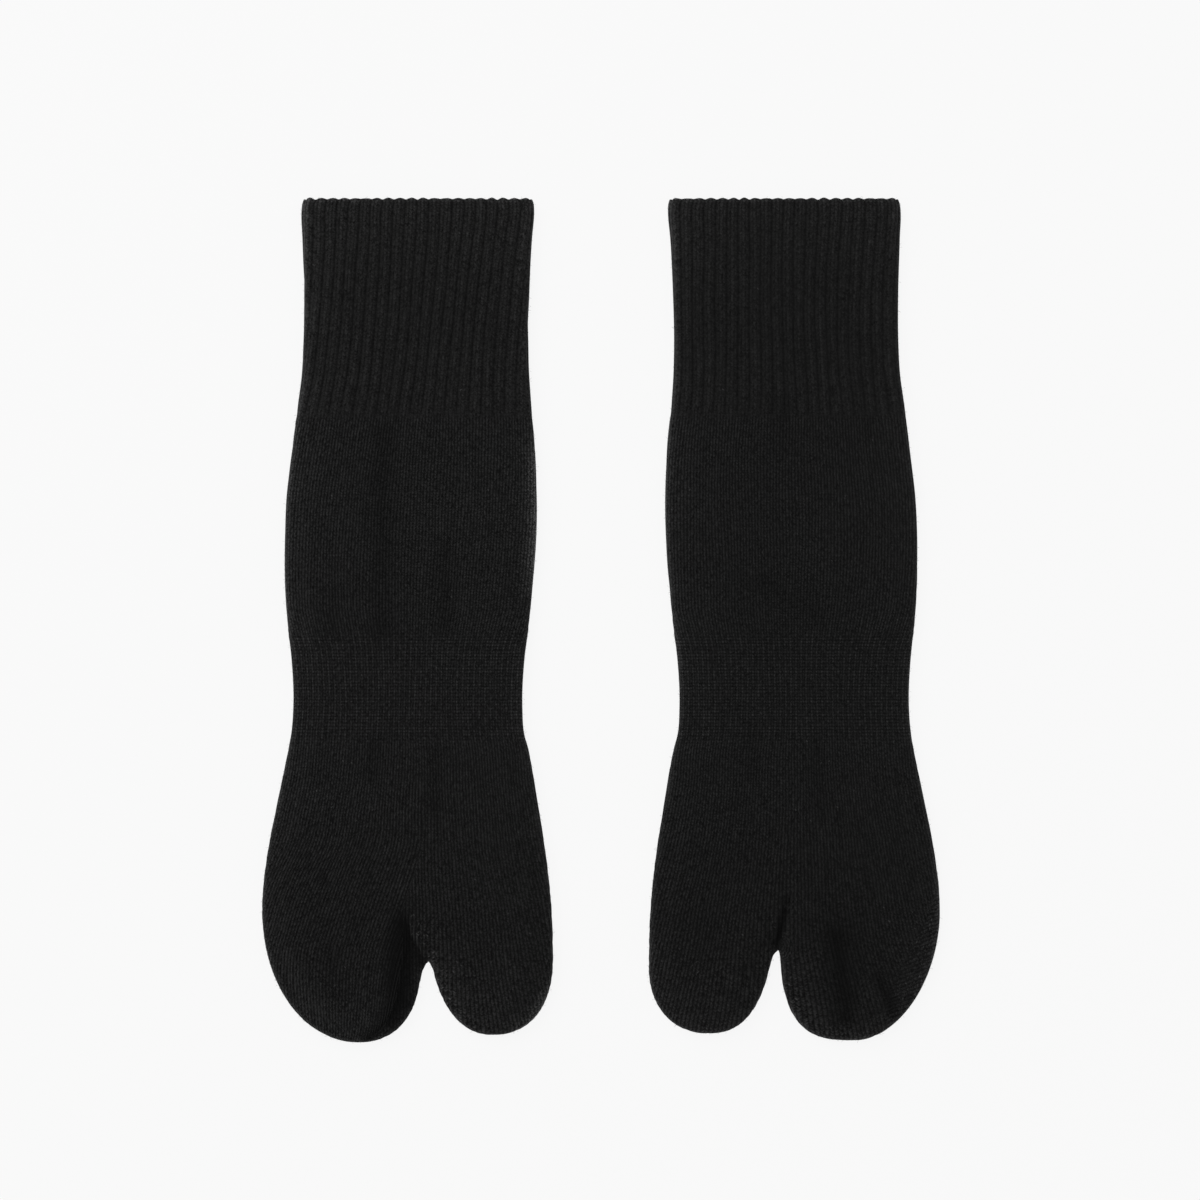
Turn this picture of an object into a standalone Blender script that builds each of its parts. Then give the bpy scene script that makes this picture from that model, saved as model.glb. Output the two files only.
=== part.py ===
"""A pair of knitted tabi socks, laid flat on their soles side by side, cuffs away.

Each sock is knitted in one piece: a ribbed cuff, a plain leg with the heel, an elastic
arch band, a plain forefoot, and two toe pockets, one for the big toe and one for the
other four toes. It is a hollow wall of cloth, open at the mouth and folded flat, so its
two layers lie on each other with a thin slot between them.

A sock is worked out in its own plan, in millimetres: "across" runs from the middle of
the cuff towards the big toe, "down" runs from the mouth to the toes, and height is
above the table. Two rings of points at a time are joined into cloth.
"""
import math

import bmesh
import bpy
import numpy as np

MM = 0.001                   # the tables are in millimetres, the model in metres

# The cloth
WALL = 2.0                   # one knitted layer
FOLD_RADIUS = 2.3            # outside radius of the folded side edges
SLOT = 0.35                  # least space between the two layers
SWELL_REACH = 11.0           # how far in from an edge the top layer reaches its crown
TROUGH_FADE = 6.0            # troughs fade out this close to an edge

# The ribbed cuff
CUFF_END = 75.0              # where the ribs run out into the plain leg
RIB_RUN_OUT = 4.0
COLUMNS_IN_RIB = 4
RIB_RELIEF = (0.12, -0.05, -0.5, -0.05)   # crest, flank, valley, flank
MOUTH_SCALLOP = 0.3          # the crests reach this much past the valleys at the mouth
LIP_LENGTH = 0.8             # length of the rounding at the mouth
LIP_ROWS = (0.3, 0.7)        # rows on the lip, as shares of the wall

# The arch band is drawn in, so it lies lower than the plain knit on both sides of it.
ARCH_START, ARCH_END = 149.5, 187.0
ARCH_SINK, ARCH_EASE = 0.4, 4.0

# The pair on the table
CUFF_SPACING = 126.3         # between the middles of the two cuffs
KNIT_COLOUR = (0.0097, 0.0097, 0.0098, 1.0)
KNIT_ROUGHNESS = 0.95

# How finely the cloth is divided
FOLD_COLUMNS = (4, 3)        # over the upper half of a folded edge, and under it
CUFF_COLUMNS = 19 * COLUMNS_IN_RIB   # between the folded edges of the cuff
OUTER_COLUMNS = {            # on each side of the split, and across each toe pocket
    "cuff": CUFF_COLUMNS, "four": 20, "big": 14,
    "pocket_four": 16, "pocket_big": 10, "under": 4,
}
LINING_COLUMNS = {
    "four": 9, "big": 7,
    "pocket_four": 7, "pocket_big": 5, "under": 3,
}
LINING_FOLD_COLUMNS = (2, 1)
POCKET_ROWS, LINING_ROWS = 13, 9
TIP_ROW = 0.25               # one more row lies this far into the last gap at a tip
BUNCHING = 1.8               # draws the top columns together at the toe split
POCKET_BUNCHING = 1.5        # and fades out down the pockets
UNDER_BUNCHING = 2.6         # and the few columns underneath

# The folded tube: how far its edges lie from the middle, and the height of its crown.
TUBE_COLUMNS = ("down", "little_toe_side", "big_toe_side", "crown")
TUBE = (
    (0.0, 39.7, 39.8, 4.9),
    (4.0, 40.1, 40.0, 5.0),
    (14.0, 39.8, 39.2, 5.1),
    (35.0, 39.3, 38.4, 5.2),
    (50.0, 39.4, 38.1, 5.2),
    (61.0, 40.0, 38.3, 5.3),
    (71.0, 41.4, 39.0, 5.5),
    (87.0, 43.4, 40.4, 5.8),
    (102.0, 45.2, 41.0, 6.1),
    (118.0, 45.9, 40.7, 6.2),
    (133.0, 45.8, 39.6, 6.1),
    (149.0, 44.7, 38.0, 5.9),
    (159.0, 43.6, 36.8, 5.8),
    (175.0, 43.0, 36.1, 5.8),
    (185.0, 43.8, 36.8, 5.9),
    (190.0, 44.7, 38.1, 6.0),
    (206.0, 48.0, 40.9, 6.2),
    (226.0, 51.9, 44.1, 6.6),
    (239.0, 53.5, 45.6, 7.0),
    (249.0, 53.8, 46.3, 7.4),
    (262.0, 53.8, 46.6, 7.8),
    (292.0, 53.8, 46.6, 7.8),
)

# Stations along the tube where a ring of points lies, by the number of columns.
CUFF_STATIONS = (LIP_LENGTH, 6.0, 15.0, 27.0, 40.0, 53.0, 64.0, 72.5, 76.5)
TUBE_STATIONS = (
    79.5, 83.0, 89.0, 97.0, 107.0, 117.0, 126.0, 134.0, 141.0, 147.0, 151.0, 158.0,
    167.0, 176.0, 183.0, 188.0, 194.0, 201.0, 209.0, 217.0, 225.0, 232.0, 238.0, 243.5,
)
BEFORE_SPLIT = (12.0, 8.5, 5.5, 3.0, 1.2)   # rings this far above the split
LINING_STATIONS = (
    LIP_LENGTH, 10.0, 26.0, 42.0, 56.0, 71.0, 84.0, 98.0, 114.0, 130.0, 142.0, 151.0, 163.0,
    176.0, 187.0, 197.0, 208.0, 219.0, 230.0, 239.0,
)
LINING_BEFORE_SPLIT = (10.0, 5.0, 1.5)

# The two toe pockets. A pocket's edge is a quarter of a superellipse on each side of
# its tip: the outer one starts from the tube's edge, the inner one from the split.
POCKET_TABLE_COLUMNS = (
    "toes", "tip_across", "tip_down", "outer_start", "outer_power",
    "split_reach", "split_start", "split_power", "split_ease",
)
RIGHT_SPLIT = (3.6, 263.0)   # across and down of the top of the toe split
LEFT_SPLIT = (2.0, 259.2)
RIGHT_POCKETS = (
    ("four", -20.5, 290.9, 245.0, 2.05, 21.0, 266.0, 2.25, 3.2),
    ("big", 25.7, 288.3, 261.5, 2.3, 22.0, 249.5, 2.2, 1.2),
)
LEFT_POCKETS = (
    ("four", -24.3, 290.2, 246.0, 1.9, 25.8, 250.5, 3.1, 1.0),
    ("big", 26.5, 287.8, 265.0, 2.15, 23.8, 236.0, 2.55, 1.4),
)

# Soft troughs in the top layer, each along a straight run.
TROUGH_COLUMNS = (
    "from_across", "from_down", "to_across", "to_down", "half_width", "depth",
)
RIGHT_TROUGHS = (
    (-10.5, 82.0, -10.0, 150.0, 4.5, 0.7),
    (11.0, 122.0, 10.5, 148.0, 3.8, 0.6),
    (-28.0, 138.0, -29.0, 148.0, 4.0, 0.5),
    (-14.5, 187.0, -15.0, 199.0, 3.5, 0.6),
    (7.0, 191.0, 6.6, 210.0, 3.5, 0.6),
    (-30.0, 262.0, -24.0, 274.0, 4.5, 0.7),
)
LEFT_TROUGHS = (
    (1.0, 73.0, 1.5, 86.0, 4.0, 0.5),
    (7.5, 134.0, -11.0, 144.0, 4.5, 0.6),
    (11.0, 186.0, 10.5, 199.0, 3.5, 0.6),
    (-11.0, 190.0, -11.5, 210.0, 3.5, 0.6),
    (-1.0, 242.0, 2.6, 257.5, 1.8, 2.0),
    (-18.6, 255.0, -23.0, 281.0, 3.6, 2.4),
    (-32.0, 268.0, -37.0, 279.0, 2.6, 1.5),
)

# Where a pocket has turned so that its side wall faces up, the top layer steps down
# beyond a curved line to a low strip of the sole. The strip ends at the ridge of cloth
# that runs from the line's start to the top of the split.
RIDGE_WIDTH = 3.0
LEDGE_COLUMNS = ("start", "first_bend", "second_bend", "end", "width", "drop")
RIGHT_LEDGE = ((-4.4, 240.0), (-5.2, 262.0), (-5.0, 283.0), (-18.0, 291.0), 5.5, 3.4)
LEFT_LEDGE = None


def smooth_step(value):
    """Ease from 0 to 1 with level ends."""
    limited = np.clip(value, 0.0, 1.0)
    return limited * limited * (3.0 - 2.0 * limited)


def read_table(rows, columns):
    """Give a table's columns by name, as arrays."""
    return {name: np.array([row[i] for row in rows]) for i, name in enumerate(columns)}


TUBE_TABLE = read_table(TUBE, TUBE_COLUMNS)


def tube_value(column, down):
    """Read the tube's table at a station, on a smooth curve through its rows."""
    stations, values = TUBE_TABLE["down"], TUBE_TABLE[column]
    slopes = np.gradient(values, stations)
    row = int(np.clip(np.searchsorted(stations, down) - 1, 0, len(stations) - 2))
    span = stations[row + 1] - stations[row]
    t = np.clip((down - stations[row]) / span, 0.0, 1.0)
    return (
        values[row] * (2 * t**3 - 3 * t**2 + 1)
        + slopes[row] * span * (t**3 - 2 * t**2 + t)
        + values[row + 1] * (3 * t**2 - 2 * t**3)
        + slopes[row + 1] * span * (t**3 - t**2)
    )


def distance_to_run(points, start, end):
    """Distance of each plan point from the straight run between two points."""
    start, end = np.array(start), np.array(end)
    along = end - start
    share = np.clip((points - start) @ along / (along @ along), 0.0, 1.0)
    return np.linalg.norm(points - start - share[:, None] * along, axis=1)


class Sock:
    """The plan and the heights of one sock, by its own tables."""

    def __init__(self, split, pockets, troughs, ledge):
        self.split_across, self.split_down = split
        self.pockets = {
            row[0]: dict(zip(POCKET_TABLE_COLUMNS, row)) for row in pockets
        }
        self.troughs = [dict(zip(TROUGH_COLUMNS, row)) for row in troughs]
        self.ledge = dict(zip(LEDGE_COLUMNS, ledge)) if ledge else None
        low, high = self.tube_edges(self.split_down, 0.0)
        self.split_share = (self.split_across - low) / (high - low)
        self.outlines = {}

    def outer_edge(self, toes, down, inset):
        """A pocket's outer edge, or the tube's own edge above its start."""
        pocket = self.pockets[toes]
        side = -1.0 if toes == "four" else 1.0
        column = "little_toe_side" if toes == "four" else "big_toe_side"
        start = pocket["outer_start"]
        if down <= start:
            return side * (tube_value(column, down) - inset)
        tip_down = pocket["tip_down"] - inset
        reach = side * (tube_value(column, start) - inset) - pocket["tip_across"]
        share = min((down - start) / (tip_down - start), 1.0)
        power = pocket["outer_power"]
        return pocket["tip_across"] + reach * (1.0 - share**power) ** (1.0 / power)

    def tube_edges(self, down, inset):
        """Both edges of the folded tube."""
        return self.outer_edge("four", down, inset), self.outer_edge("big", down, inset)

    def split_edge(self, toes, down, inset):
        """A pocket's edge along the split, rounded in to the split's top."""
        pocket = self.pockets[toes]
        side = 1.0 if toes == "four" else -1.0
        start, power = pocket["split_start"], pocket["split_power"]
        top = self.split_down - inset

        def plain(at):
            share = np.clip((at - start) / (pocket["tip_down"] - inset - start), 0.0, 1.0)
            reach = pocket["split_reach"] - inset
            return pocket["tip_across"] + side * reach * (1.0 - share**power) ** (1.0 / power)

        ease = pocket["split_ease"] + inset
        pull = (self.split_across - plain(top)) * math.exp(-(down - top) / ease)
        tip_down = pocket["tip_down"] - inset
        return plain(down) + pull * smooth_step((tip_down - down) / 4.0)

    def pocket_edges(self, toes, down, inset):
        """Both edges of a pocket, in the order of across."""
        edges = self.outer_edge(toes, down, inset), self.split_edge(toes, down, inset)
        return edges if toes == "four" else edges[::-1]

    def pocket_stations(self, toes, inset, rows):
        """Rings down a pocket, closer together at the split and at the tip."""
        top = self.split_down - inset
        length = self.pockets[toes]["tip_down"] - inset - top
        turns = [math.pi * i / rows for i in range(1, rows)]
        stations = [top + length * (1.0 - math.cos(turn)) / 2.0 for turn in turns]
        last_gap = top + length - stations[-1]
        return stations + [top + length - TIP_ROW * last_gap]

    def outline(self, inset):
        """Plan points all round the edge, from mouth to mouth."""
        if inset not in self.outlines:
            points = []
            leg = np.arange(-12.0, self.split_down - inset, 1.5)
            points += [(self.tube_edges(d, inset)[0], d) for d in leg]
            for toes in ("four", "big"):
                stations = self.pocket_stations(toes, inset, 60)
                tip = (self.pockets[toes]["tip_across"], self.pockets[toes]["tip_down"] - inset)
                first = [(self.pocket_edges(toes, d, inset)[0], d) for d in stations]
                second = [(self.pocket_edges(toes, d, inset)[1], d) for d in stations]
                points += first + [tip] + second[::-1]
                if toes == "four":
                    points.append((self.split_across, self.split_down - inset))
            points += [(self.tube_edges(d, inset)[1], d) for d in leg[::-1]]
            self.outlines[inset] = np.array(points)
        return self.outlines[inset]

    def edge_distance(self, points, inset):
        """How far plan points lie inside the edge."""
        line = self.outline(inset)
        starts, runs = line[:-1], np.diff(line, axis=0)
        offsets = points[:, None, :] - starts[None, :, :]
        share = np.sum(offsets * runs, axis=2) / np.maximum(np.sum(runs * runs, axis=1), 1e-9)
        nearest = offsets - np.clip(share, 0.0, 1.0)[:, :, None] * runs
        return np.sqrt(np.min(np.sum(nearest**2, axis=2), axis=1))

    def ledge_line(self):
        """Points down the curved line where the top layer steps down."""
        t = np.linspace(0.0, 1.0, 24)[:, None]
        corners = [np.array(self.ledge[name]) for name in LEDGE_COLUMNS[:4]]
        weights = ((1 - t) ** 3, 3 * t * (1 - t) ** 2, 3 * t * t * (1 - t), t**3)
        return sum(weight * corner for weight, corner in zip(weights, corners))

    def ledge_drop(self, points):
        """How much the top layer has stepped down at plan points."""
        if self.ledge is None:
            return np.zeros(len(points))
        line = self.ledge_line()
        starts, runs = line[:-1], np.diff(line, axis=0)
        offsets = points[:, None, :] - starts[None, :, :]
        share = np.sum(offsets * runs, axis=2) / np.sum(runs * runs, axis=1)
        share = np.clip(share, 0.0, 1.0)
        gaps = offsets - share[:, :, None] * runs
        nearest = np.argmin(np.sum(gaps**2, axis=2), axis=1)
        rows = np.arange(len(points))
        gap, run = gaps[rows, nearest], runs[nearest]
        turned = run[:, 1] * gap[:, 0] - run[:, 0] * gap[:, 1]
        beyond = np.sign(turned) * np.linalg.norm(gap, axis=1)
        along = (nearest + share[rows, nearest]) / len(runs)
        step = smooth_step(beyond / self.ledge["width"] + 0.5) * smooth_step(along * 3.5)
        start_across, start_down = self.ledge["start"]
        ridge = np.interp(
            points[:, 1], (start_down, self.split_down), (start_across, self.split_across),
        )
        return self.ledge["drop"] * step * smooth_step((ridge - points[:, 0]) / RIDGE_WIDTH)

    def relief(self, points, edge_distance):
        """Height of the top layer's swell and troughs over a flat fold."""
        crown = np.array([tube_value("crown", down) for down in points[:, 1]])
        swell = (crown - 2.0 * FOLD_RADIUS) * smooth_step(edge_distance / SWELL_REACH)
        sunk = self.ledge_drop(points) * smooth_step(edge_distance / FOLD_RADIUS)
        inside = smooth_step(edge_distance / TROUGH_FADE)
        for trough in self.troughs:
            start = trough["from_across"], trough["from_down"]
            end = trough["to_across"], trough["to_down"]
            gap = distance_to_run(points, start, end) / trough["half_width"]
            sunk += inside * trough["depth"] * np.exp(-gap * gap)
        past_start = smooth_step((points[:, 1] - ARCH_START) / ARCH_EASE + 0.5)
        past_end = smooth_step((points[:, 1] - ARCH_END) / ARCH_EASE + 0.5)
        sunk += ARCH_SINK * inside * (past_start - past_end)
        lowest = 2.0 * WALL + SLOT - 2.0 * FOLD_RADIUS
        return np.maximum(swell - sunk, np.minimum(lowest, swell))

    def heights(self, points, inset, level):
        """Height of plan points on one face: 1 the top, -1 the underside, 0 the edge."""
        radius = FOLD_RADIUS - inset
        if level == 0:
            return np.full(len(points), FOLD_RADIUS)
        distance = self.edge_distance(points, inset)
        lacking = np.clip(1.0 - distance / radius, 0.0, 1.0)
        bulge = radius * np.sqrt(1.0 - lacking * lacking)
        if level < 0:
            return FOLD_RADIUS - bulge
        return FOLD_RADIUS + bulge + self.relief(points, distance + inset)


def fold_offsets(columns, radius, slope, width):
    """Steps in from a folded edge, evenly spaced round its curve."""
    turns = np.linspace(0.0, math.pi / 2.0, columns + 1)
    reach = min(radius * math.hypot(1.0, slope), 0.45 * width)
    return reach * (1.0 - np.cos(turns))


def bunched(start, end, count, power):
    """Positions from start to end, closer together near the end."""
    steps = np.linspace(0.0, 1.0, count + 1)
    return start + (end - start) * (1.0 - (1.0 - steps) ** power)


def unit_range(values):
    """Scale rising values to run from 0 to 1."""
    return (values - values[0]) / (values[-1] - values[0])


def chain_across(edges, slopes, radius, fold_columns, middle):
    """Positions across a ring from one edge to the other."""
    low, high = edges
    width = high - low
    first = low + fold_offsets(fold_columns, radius, slopes[0], width)
    last = high - fold_offsets(fold_columns, radius, slopes[1], width)
    return np.concatenate([first, middle(first[-1], last[-1]), last[::-1]])


class Ring:
    """A closed ring of points, as a row over the top and a row underneath.

    The keys are the points' places across the sock, by which two rings are matched.
    """

    def __init__(self, top, top_keys, under, under_keys):
        self.top, self.top_keys = top, top_keys
        self.under, self.under_keys = under, under_keys


class Knitter:
    """Turns a sock's rings into one mesh."""

    def __init__(self, sock, side, middle_across):
        self.sock, self.side, self.middle_across = sock, side, middle_across
        self.mesh = bmesh.new()

    def point(self, across, down, height):
        """Add a point, given in the sock's plan."""
        place = (self.middle_across + self.side * across, -down, height)
        return self.mesh.verts.new([value * MM for value in place])

    def face(self, corners, flip):
        """Add a face that looks outwards."""
        if len(set(corners)) < 3:
            return
        outwards = flip != (self.side < 0)
        self.mesh.faces.new(corners[::-1] if outwards else corners)

    def row(self, across, down, inset, level, lift=None, scallop=None):
        """Add a row of points along one face of the sock."""
        downs = np.full(len(across), down) if scallop is None else down + scallop
        plan = np.column_stack([across, np.full(len(across), down)])
        high = self.sock.heights(plan, inset, level)
        push = np.zeros(len(across)) if lift is None else lift
        lacking = np.clip((high - FOLD_RADIUS) / (FOLD_RADIUS - inset), 0.0, 1.0)
        sideways = np.sqrt(1.0 - lacking * lacking) * np.sign(across - np.mean(across))
        high = high + push * lacking
        wide = across + push * sideways
        return [self.point(*values) for values in zip(wide, downs, high)]

    def ring(self, edges_at, down, inset, top_middle, under_middle, folds, ribs=0.0):
        """Add a ring at a station."""
        edges = edges_at(down, inset)
        ahead, behind = edges_at(down + 0.05, inset), edges_at(down - 0.05, inset)
        slopes = [(a - b) / 0.1 for a, b in zip(ahead, behind)]
        radius = FOLD_RADIUS - inset
        top = chain_across(edges, slopes, radius, folds[0], top_middle)
        under = chain_across(edges, slopes, radius, folds[1], under_middle)
        lift, scallop = rib_relief(len(top), ribs, inset)
        top_points = self.row(top, down, inset, 1, lift, scallop)
        for index in (0, -1):
            top_points[index].co.z = FOLD_RADIUS * MM
        under_points = self.row(under[1:-1], down, inset, -1)
        under_points = [top_points[0]] + under_points + [top_points[-1]]
        return Ring(top_points, top, under_points, under)

    def zip_rows(self, first, first_keys, second, second_keys, flip):
        """Join two rows of points, whatever their counts, with one strip of faces."""
        i, j = 0, 0
        even = len(first) == len(second)
        first_keys, second_keys = unit_range(first_keys), unit_range(second_keys)
        while i < len(first) - 1 or j < len(second) - 1:
            if even:
                self.face([first[i], second[j], second[j + 1], first[i + 1]], flip)
                i, j = i + 1, j + 1
                continue
            ends = i == len(first) - 1, j == len(second) - 1
            if ends[1] or (not ends[0] and first_keys[i + 1] <= second_keys[j + 1]):
                self.face([first[i], second[j], first[i + 1]], flip)
                i += 1
            else:
                self.face([first[i], second[j], second[j + 1]], flip)
                j += 1

    def join(self, upper, lower, inside):
        """Join two rings, the second one further down."""
        self.zip_rows(upper.top, upper.top_keys, lower.top, lower.top_keys, inside)
        self.zip_rows(upper.under, upper.under_keys, lower.under, lower.under_keys, not inside)

    def close_tip(self, ring, toes, inset, inside):
        """Close a pocket with a fan to the point of its tip."""
        pocket = self.sock.pockets[toes]
        tip = self.point(pocket["tip_across"], pocket["tip_down"] - inset, FOLD_RADIUS)
        for row, flip in ((ring.top, inside), (ring.under, not inside)):
            for first, second in zip(row, row[1:]):
                self.face([first, tip, second], flip)

    def pinch(self, edges_at, down, inset, columns, folds):
        """The ring at the top of the split, whose two loops share one point."""
        low, high = edges_at(down, inset)
        middle = self.sock.split_across
        shared = self.point(middle, down, FOLD_RADIUS)
        radius = FOLD_RADIUS - inset
        loops = {}
        for toes, edge in (("four", low), ("big", high)):
            rows, keys = [], []
            for fold_columns, count, level in (
                (folds[0], columns[toes], 1), (folds[1], columns["under"], -1),
            ):
                offsets = fold_offsets(fold_columns, radius, 0.0, high - low)
                inward = edge + math.copysign(1.0, middle - edge) * offsets
                power = BUNCHING if level > 0 else UNDER_BUNCHING
                between = bunched(inward[-1], middle, count, power)[1:-1]
                across = np.concatenate([inward, between])
                rows.append(self.row(across[1:], down, inset, level) + [shared])
                keys.append(np.append(across, middle))
            edge_point = self.point(edge, down, FOLD_RADIUS)
            top, under = [edge_point] + rows[0], [edge_point] + rows[1]
            if toes == "big":
                top, under = top[::-1], under[::-1]
                keys = [values[::-1] for values in keys]
            loops[toes] = Ring(top, keys[0], under, keys[1])
        four, big = loops["four"], loops["big"]
        whole = Ring(
            four.top + big.top[1:], np.append(four.top_keys, big.top_keys[1:]),
            four.under + big.under[1:], np.append(four.under_keys, big.under_keys[1:]),
        )
        return whole, loops

    def wall(self, inset, cuff_stations, tube_stations, split_gaps, columns, folds, rows):
        """Knit one face of the cloth from the cuff to both tips, and give its first ring."""
        sock, inside = self.sock, inset > 0.0

        def cuff_middle(low, high):
            return bunched(low, high, columns["cuff"], 1.0)[1:-1]

        def halves(four, big, most_bunching):
            def middle(low, high):
                split = low + (high - low) * sock.split_share
                power = 1.0 + (most_bunching - 1.0) * nearness
                left = bunched(low, split, four, power)[1:]
                right = bunched(high, split, big, power)[1:-1]
                return np.concatenate([left, right[::-1]])
            return middle

        nearness = 0.0
        over_middle = halves(columns["four"], columns["big"], BUNCHING)
        under_middle = halves(columns["under"], columns["under"], UNDER_BUNCHING)
        first = last = None
        split_stations = [sock.split_down - inset - gap for gap in split_gaps]
        stations = list(cuff_stations) + list(tube_stations) + split_stations
        for down in stations:
            nearness = smooth_step((down - ARCH_END) / (sock.split_down - ARCH_END))
            ribbed = down in cuff_stations
            ribs = 1.0 - smooth_step((down - CUFF_END) / RIB_RUN_OUT + 0.5) if ribbed else 0.0
            top_middle = cuff_middle if ribbed else over_middle
            ring = self.ring(
                sock.tube_edges, down, inset, top_middle, under_middle, folds, ribs,
            )
            if last:
                self.join(last, ring, inside)
            first, last = first or ring, ring
        pinch_down = sock.split_down - inset
        whole, loops = self.pinch(sock.tube_edges, pinch_down, inset, columns, folds)
        self.join(last, whole, inside)
        for toes, loop in loops.items():
            self.pocket(toes, loop, inset, columns, folds, rows)
        return first

    def pocket(self, toes, loop, inset, columns, folds, rows):
        """Knit one toe pocket on from its loop at the split."""
        inside, last = inset > 0.0, loop

        def edges_at(down, edge_inset):
            return self.sock.pocket_edges(toes, down, edge_inset)

        def over_middle(low, high):
            start, end = (low, high) if toes == "four" else (high, low)
            power = 1.0 + (POCKET_BUNCHING - 1.0) * nearness
            return np.sort(bunched(start, end, columns["pocket_" + toes], power)[1:-1])

        stations = self.sock.pocket_stations(toes, inset, rows)
        for down in stations:
            nearness = smooth_step((stations[-1] - down) / (stations[-1] - stations[0]))
            ring = self.ring(
                edges_at, down, inset, over_middle,
                lambda low, high: bunched(low, high, columns["under"], 1.0)[1:-1],
                folds,
            )
            self.join(last, ring, inside)
            last = ring
        self.close_tip(last, toes, inset, inside)

    def lip(self, outer, inner, columns, folds):
        """Round the mouth over from the outer face to the inner one."""
        last = outer
        for share in LIP_ROWS:
            ring = self.ring(
                self.sock.tube_edges, 0.0, share * WALL,
                lambda low, high: bunched(low, high, columns["cuff"], 1.0)[1:-1],
                lambda low, high: bunched(low, high, 2 * columns["under"], 1.0)[1:-1],
                folds, 1.0,
            )
            self.join(ring, last, False)
            last = ring
        self.zip_rows(inner.top, inner.top_keys, last.top, last.top_keys, False)
        self.zip_rows(inner.under, inner.under_keys, last.under, last.under_keys, True)


def rib_relief(count, strength, inset):
    """Push-out of each column in a ribbed row, and its shift at the mouth."""
    if strength <= 0.0:
        return None, None
    steps = [RIB_RELIEF[index % COLUMNS_IN_RIB] for index in range(count)]
    lift = strength * np.array(steps) * (1.0 - inset / WALL)
    crests = np.cos(np.arange(count) * 2.0 * math.pi / COLUMNS_IN_RIB)
    scallop = -MOUTH_SCALLOP * crests if inset > 0.0 else None
    return lift, scallop


def knit_material():
    """Matt black cotton knit."""
    material = bpy.data.materials.new("black_knit")
    material.use_nodes = True
    shader = material.node_tree.nodes["Principled BSDF"]
    shader.inputs["Base Color"].default_value = KNIT_COLOUR
    shader.inputs["Roughness"].default_value = KNIT_ROUGHNESS
    shader.inputs["Metallic"].default_value = 0.0
    return material


def make_sock(name, sock, side, material, collection):
    """Knit a sock and put it in the collection as one object."""
    knitter = Knitter(sock, side, -side * CUFF_SPACING / 2.0)
    outer = knitter.wall(
        0.0, CUFF_STATIONS, TUBE_STATIONS, BEFORE_SPLIT,
        OUTER_COLUMNS, FOLD_COLUMNS, POCKET_ROWS,
    )
    inner = knitter.wall(
        WALL, (), LINING_STATIONS, LINING_BEFORE_SPLIT,
        LINING_COLUMNS, LINING_FOLD_COLUMNS, LINING_ROWS,
    )
    knitter.lip(outer, inner, OUTER_COLUMNS, FOLD_COLUMNS)
    mesh = bpy.data.meshes.new(name)
    knitter.mesh.to_mesh(mesh)
    knitter.mesh.free()
    thing = bpy.data.objects.new(name, mesh)
    thing.data.materials.append(material)
    thing.data.shade_smooth()
    collection.objects.link(thing)
    return thing


def centre_pair(things):
    """Shift the pair so that the middle of its box is at the origin."""
    points = np.array([vert.co for thing in things for vert in thing.data.vertices])
    middle = (points.min(axis=0) + points.max(axis=0)) / 2.0
    for thing in things:
        for vert in thing.data.vertices:
            vert.co.x -= middle[0]
            vert.co.y -= middle[1]


def main():
    for thing in list(bpy.data.objects):
        bpy.data.objects.remove(thing)
    collection = bpy.data.collections.new("tabi_socks")
    bpy.context.scene.collection.children.link(collection)
    material = knit_material()
    right = Sock(RIGHT_SPLIT, RIGHT_POCKETS, RIGHT_TROUGHS, RIGHT_LEDGE)
    left = Sock(LEFT_SPLIT, LEFT_POCKETS, LEFT_TROUGHS, LEFT_LEDGE)
    centre_pair([
        make_sock("sock_right", right, 1, material, collection),
        make_sock("sock_left", left, -1, material, collection),
    ])


main()
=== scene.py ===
"""The looks of a pair of knitted tabi socks that lie flat on a pale table.

Each sock is one closed shell of cloth with its own wales, courses and creases, and a
separate piece of loose fibres that stand out of its yarn.

A sock is worked out in its own plan, in millimetres: "across" runs from the middle of
the cuff towards the big toe, "down" runs from the mouth to the toes, and height is
above the table. A wale is one column of stitches and a course is one row of them.
"""
import math

import bpy
import numpy as np
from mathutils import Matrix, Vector


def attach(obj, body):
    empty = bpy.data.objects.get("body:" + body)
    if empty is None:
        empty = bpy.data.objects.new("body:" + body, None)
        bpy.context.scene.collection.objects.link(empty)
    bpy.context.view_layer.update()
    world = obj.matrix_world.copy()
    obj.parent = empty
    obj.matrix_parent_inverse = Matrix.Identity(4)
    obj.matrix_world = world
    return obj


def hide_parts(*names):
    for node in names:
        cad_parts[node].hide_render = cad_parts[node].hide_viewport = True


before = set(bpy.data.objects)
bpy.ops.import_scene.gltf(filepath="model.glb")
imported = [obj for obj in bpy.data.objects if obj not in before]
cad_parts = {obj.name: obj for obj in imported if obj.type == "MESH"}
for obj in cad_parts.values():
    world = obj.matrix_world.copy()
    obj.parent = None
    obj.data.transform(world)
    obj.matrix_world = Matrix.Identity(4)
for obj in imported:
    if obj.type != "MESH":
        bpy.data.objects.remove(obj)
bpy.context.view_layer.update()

MM = 0.001                   # the tables are in millimetres, the model in metres

# The cloth, as in the solids
WALL = 2.0                   # one knitted layer
FOLD_RADIUS = 2.3            # outside radius of the folded side edges
SLOT = 0.35                  # least space between the two layers
SWELL_REACH = 11.0           # how far in from an edge the top layer reaches its crown
TROUGH_FADE = 6.0            # troughs fade out this close to an edge
CUFF_SPACING = 126.3         # between the middles of the two cuffs
PAIR_SHIFT = (-0.005, 145.3) # puts the middle of the pair's box at the origin

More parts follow.
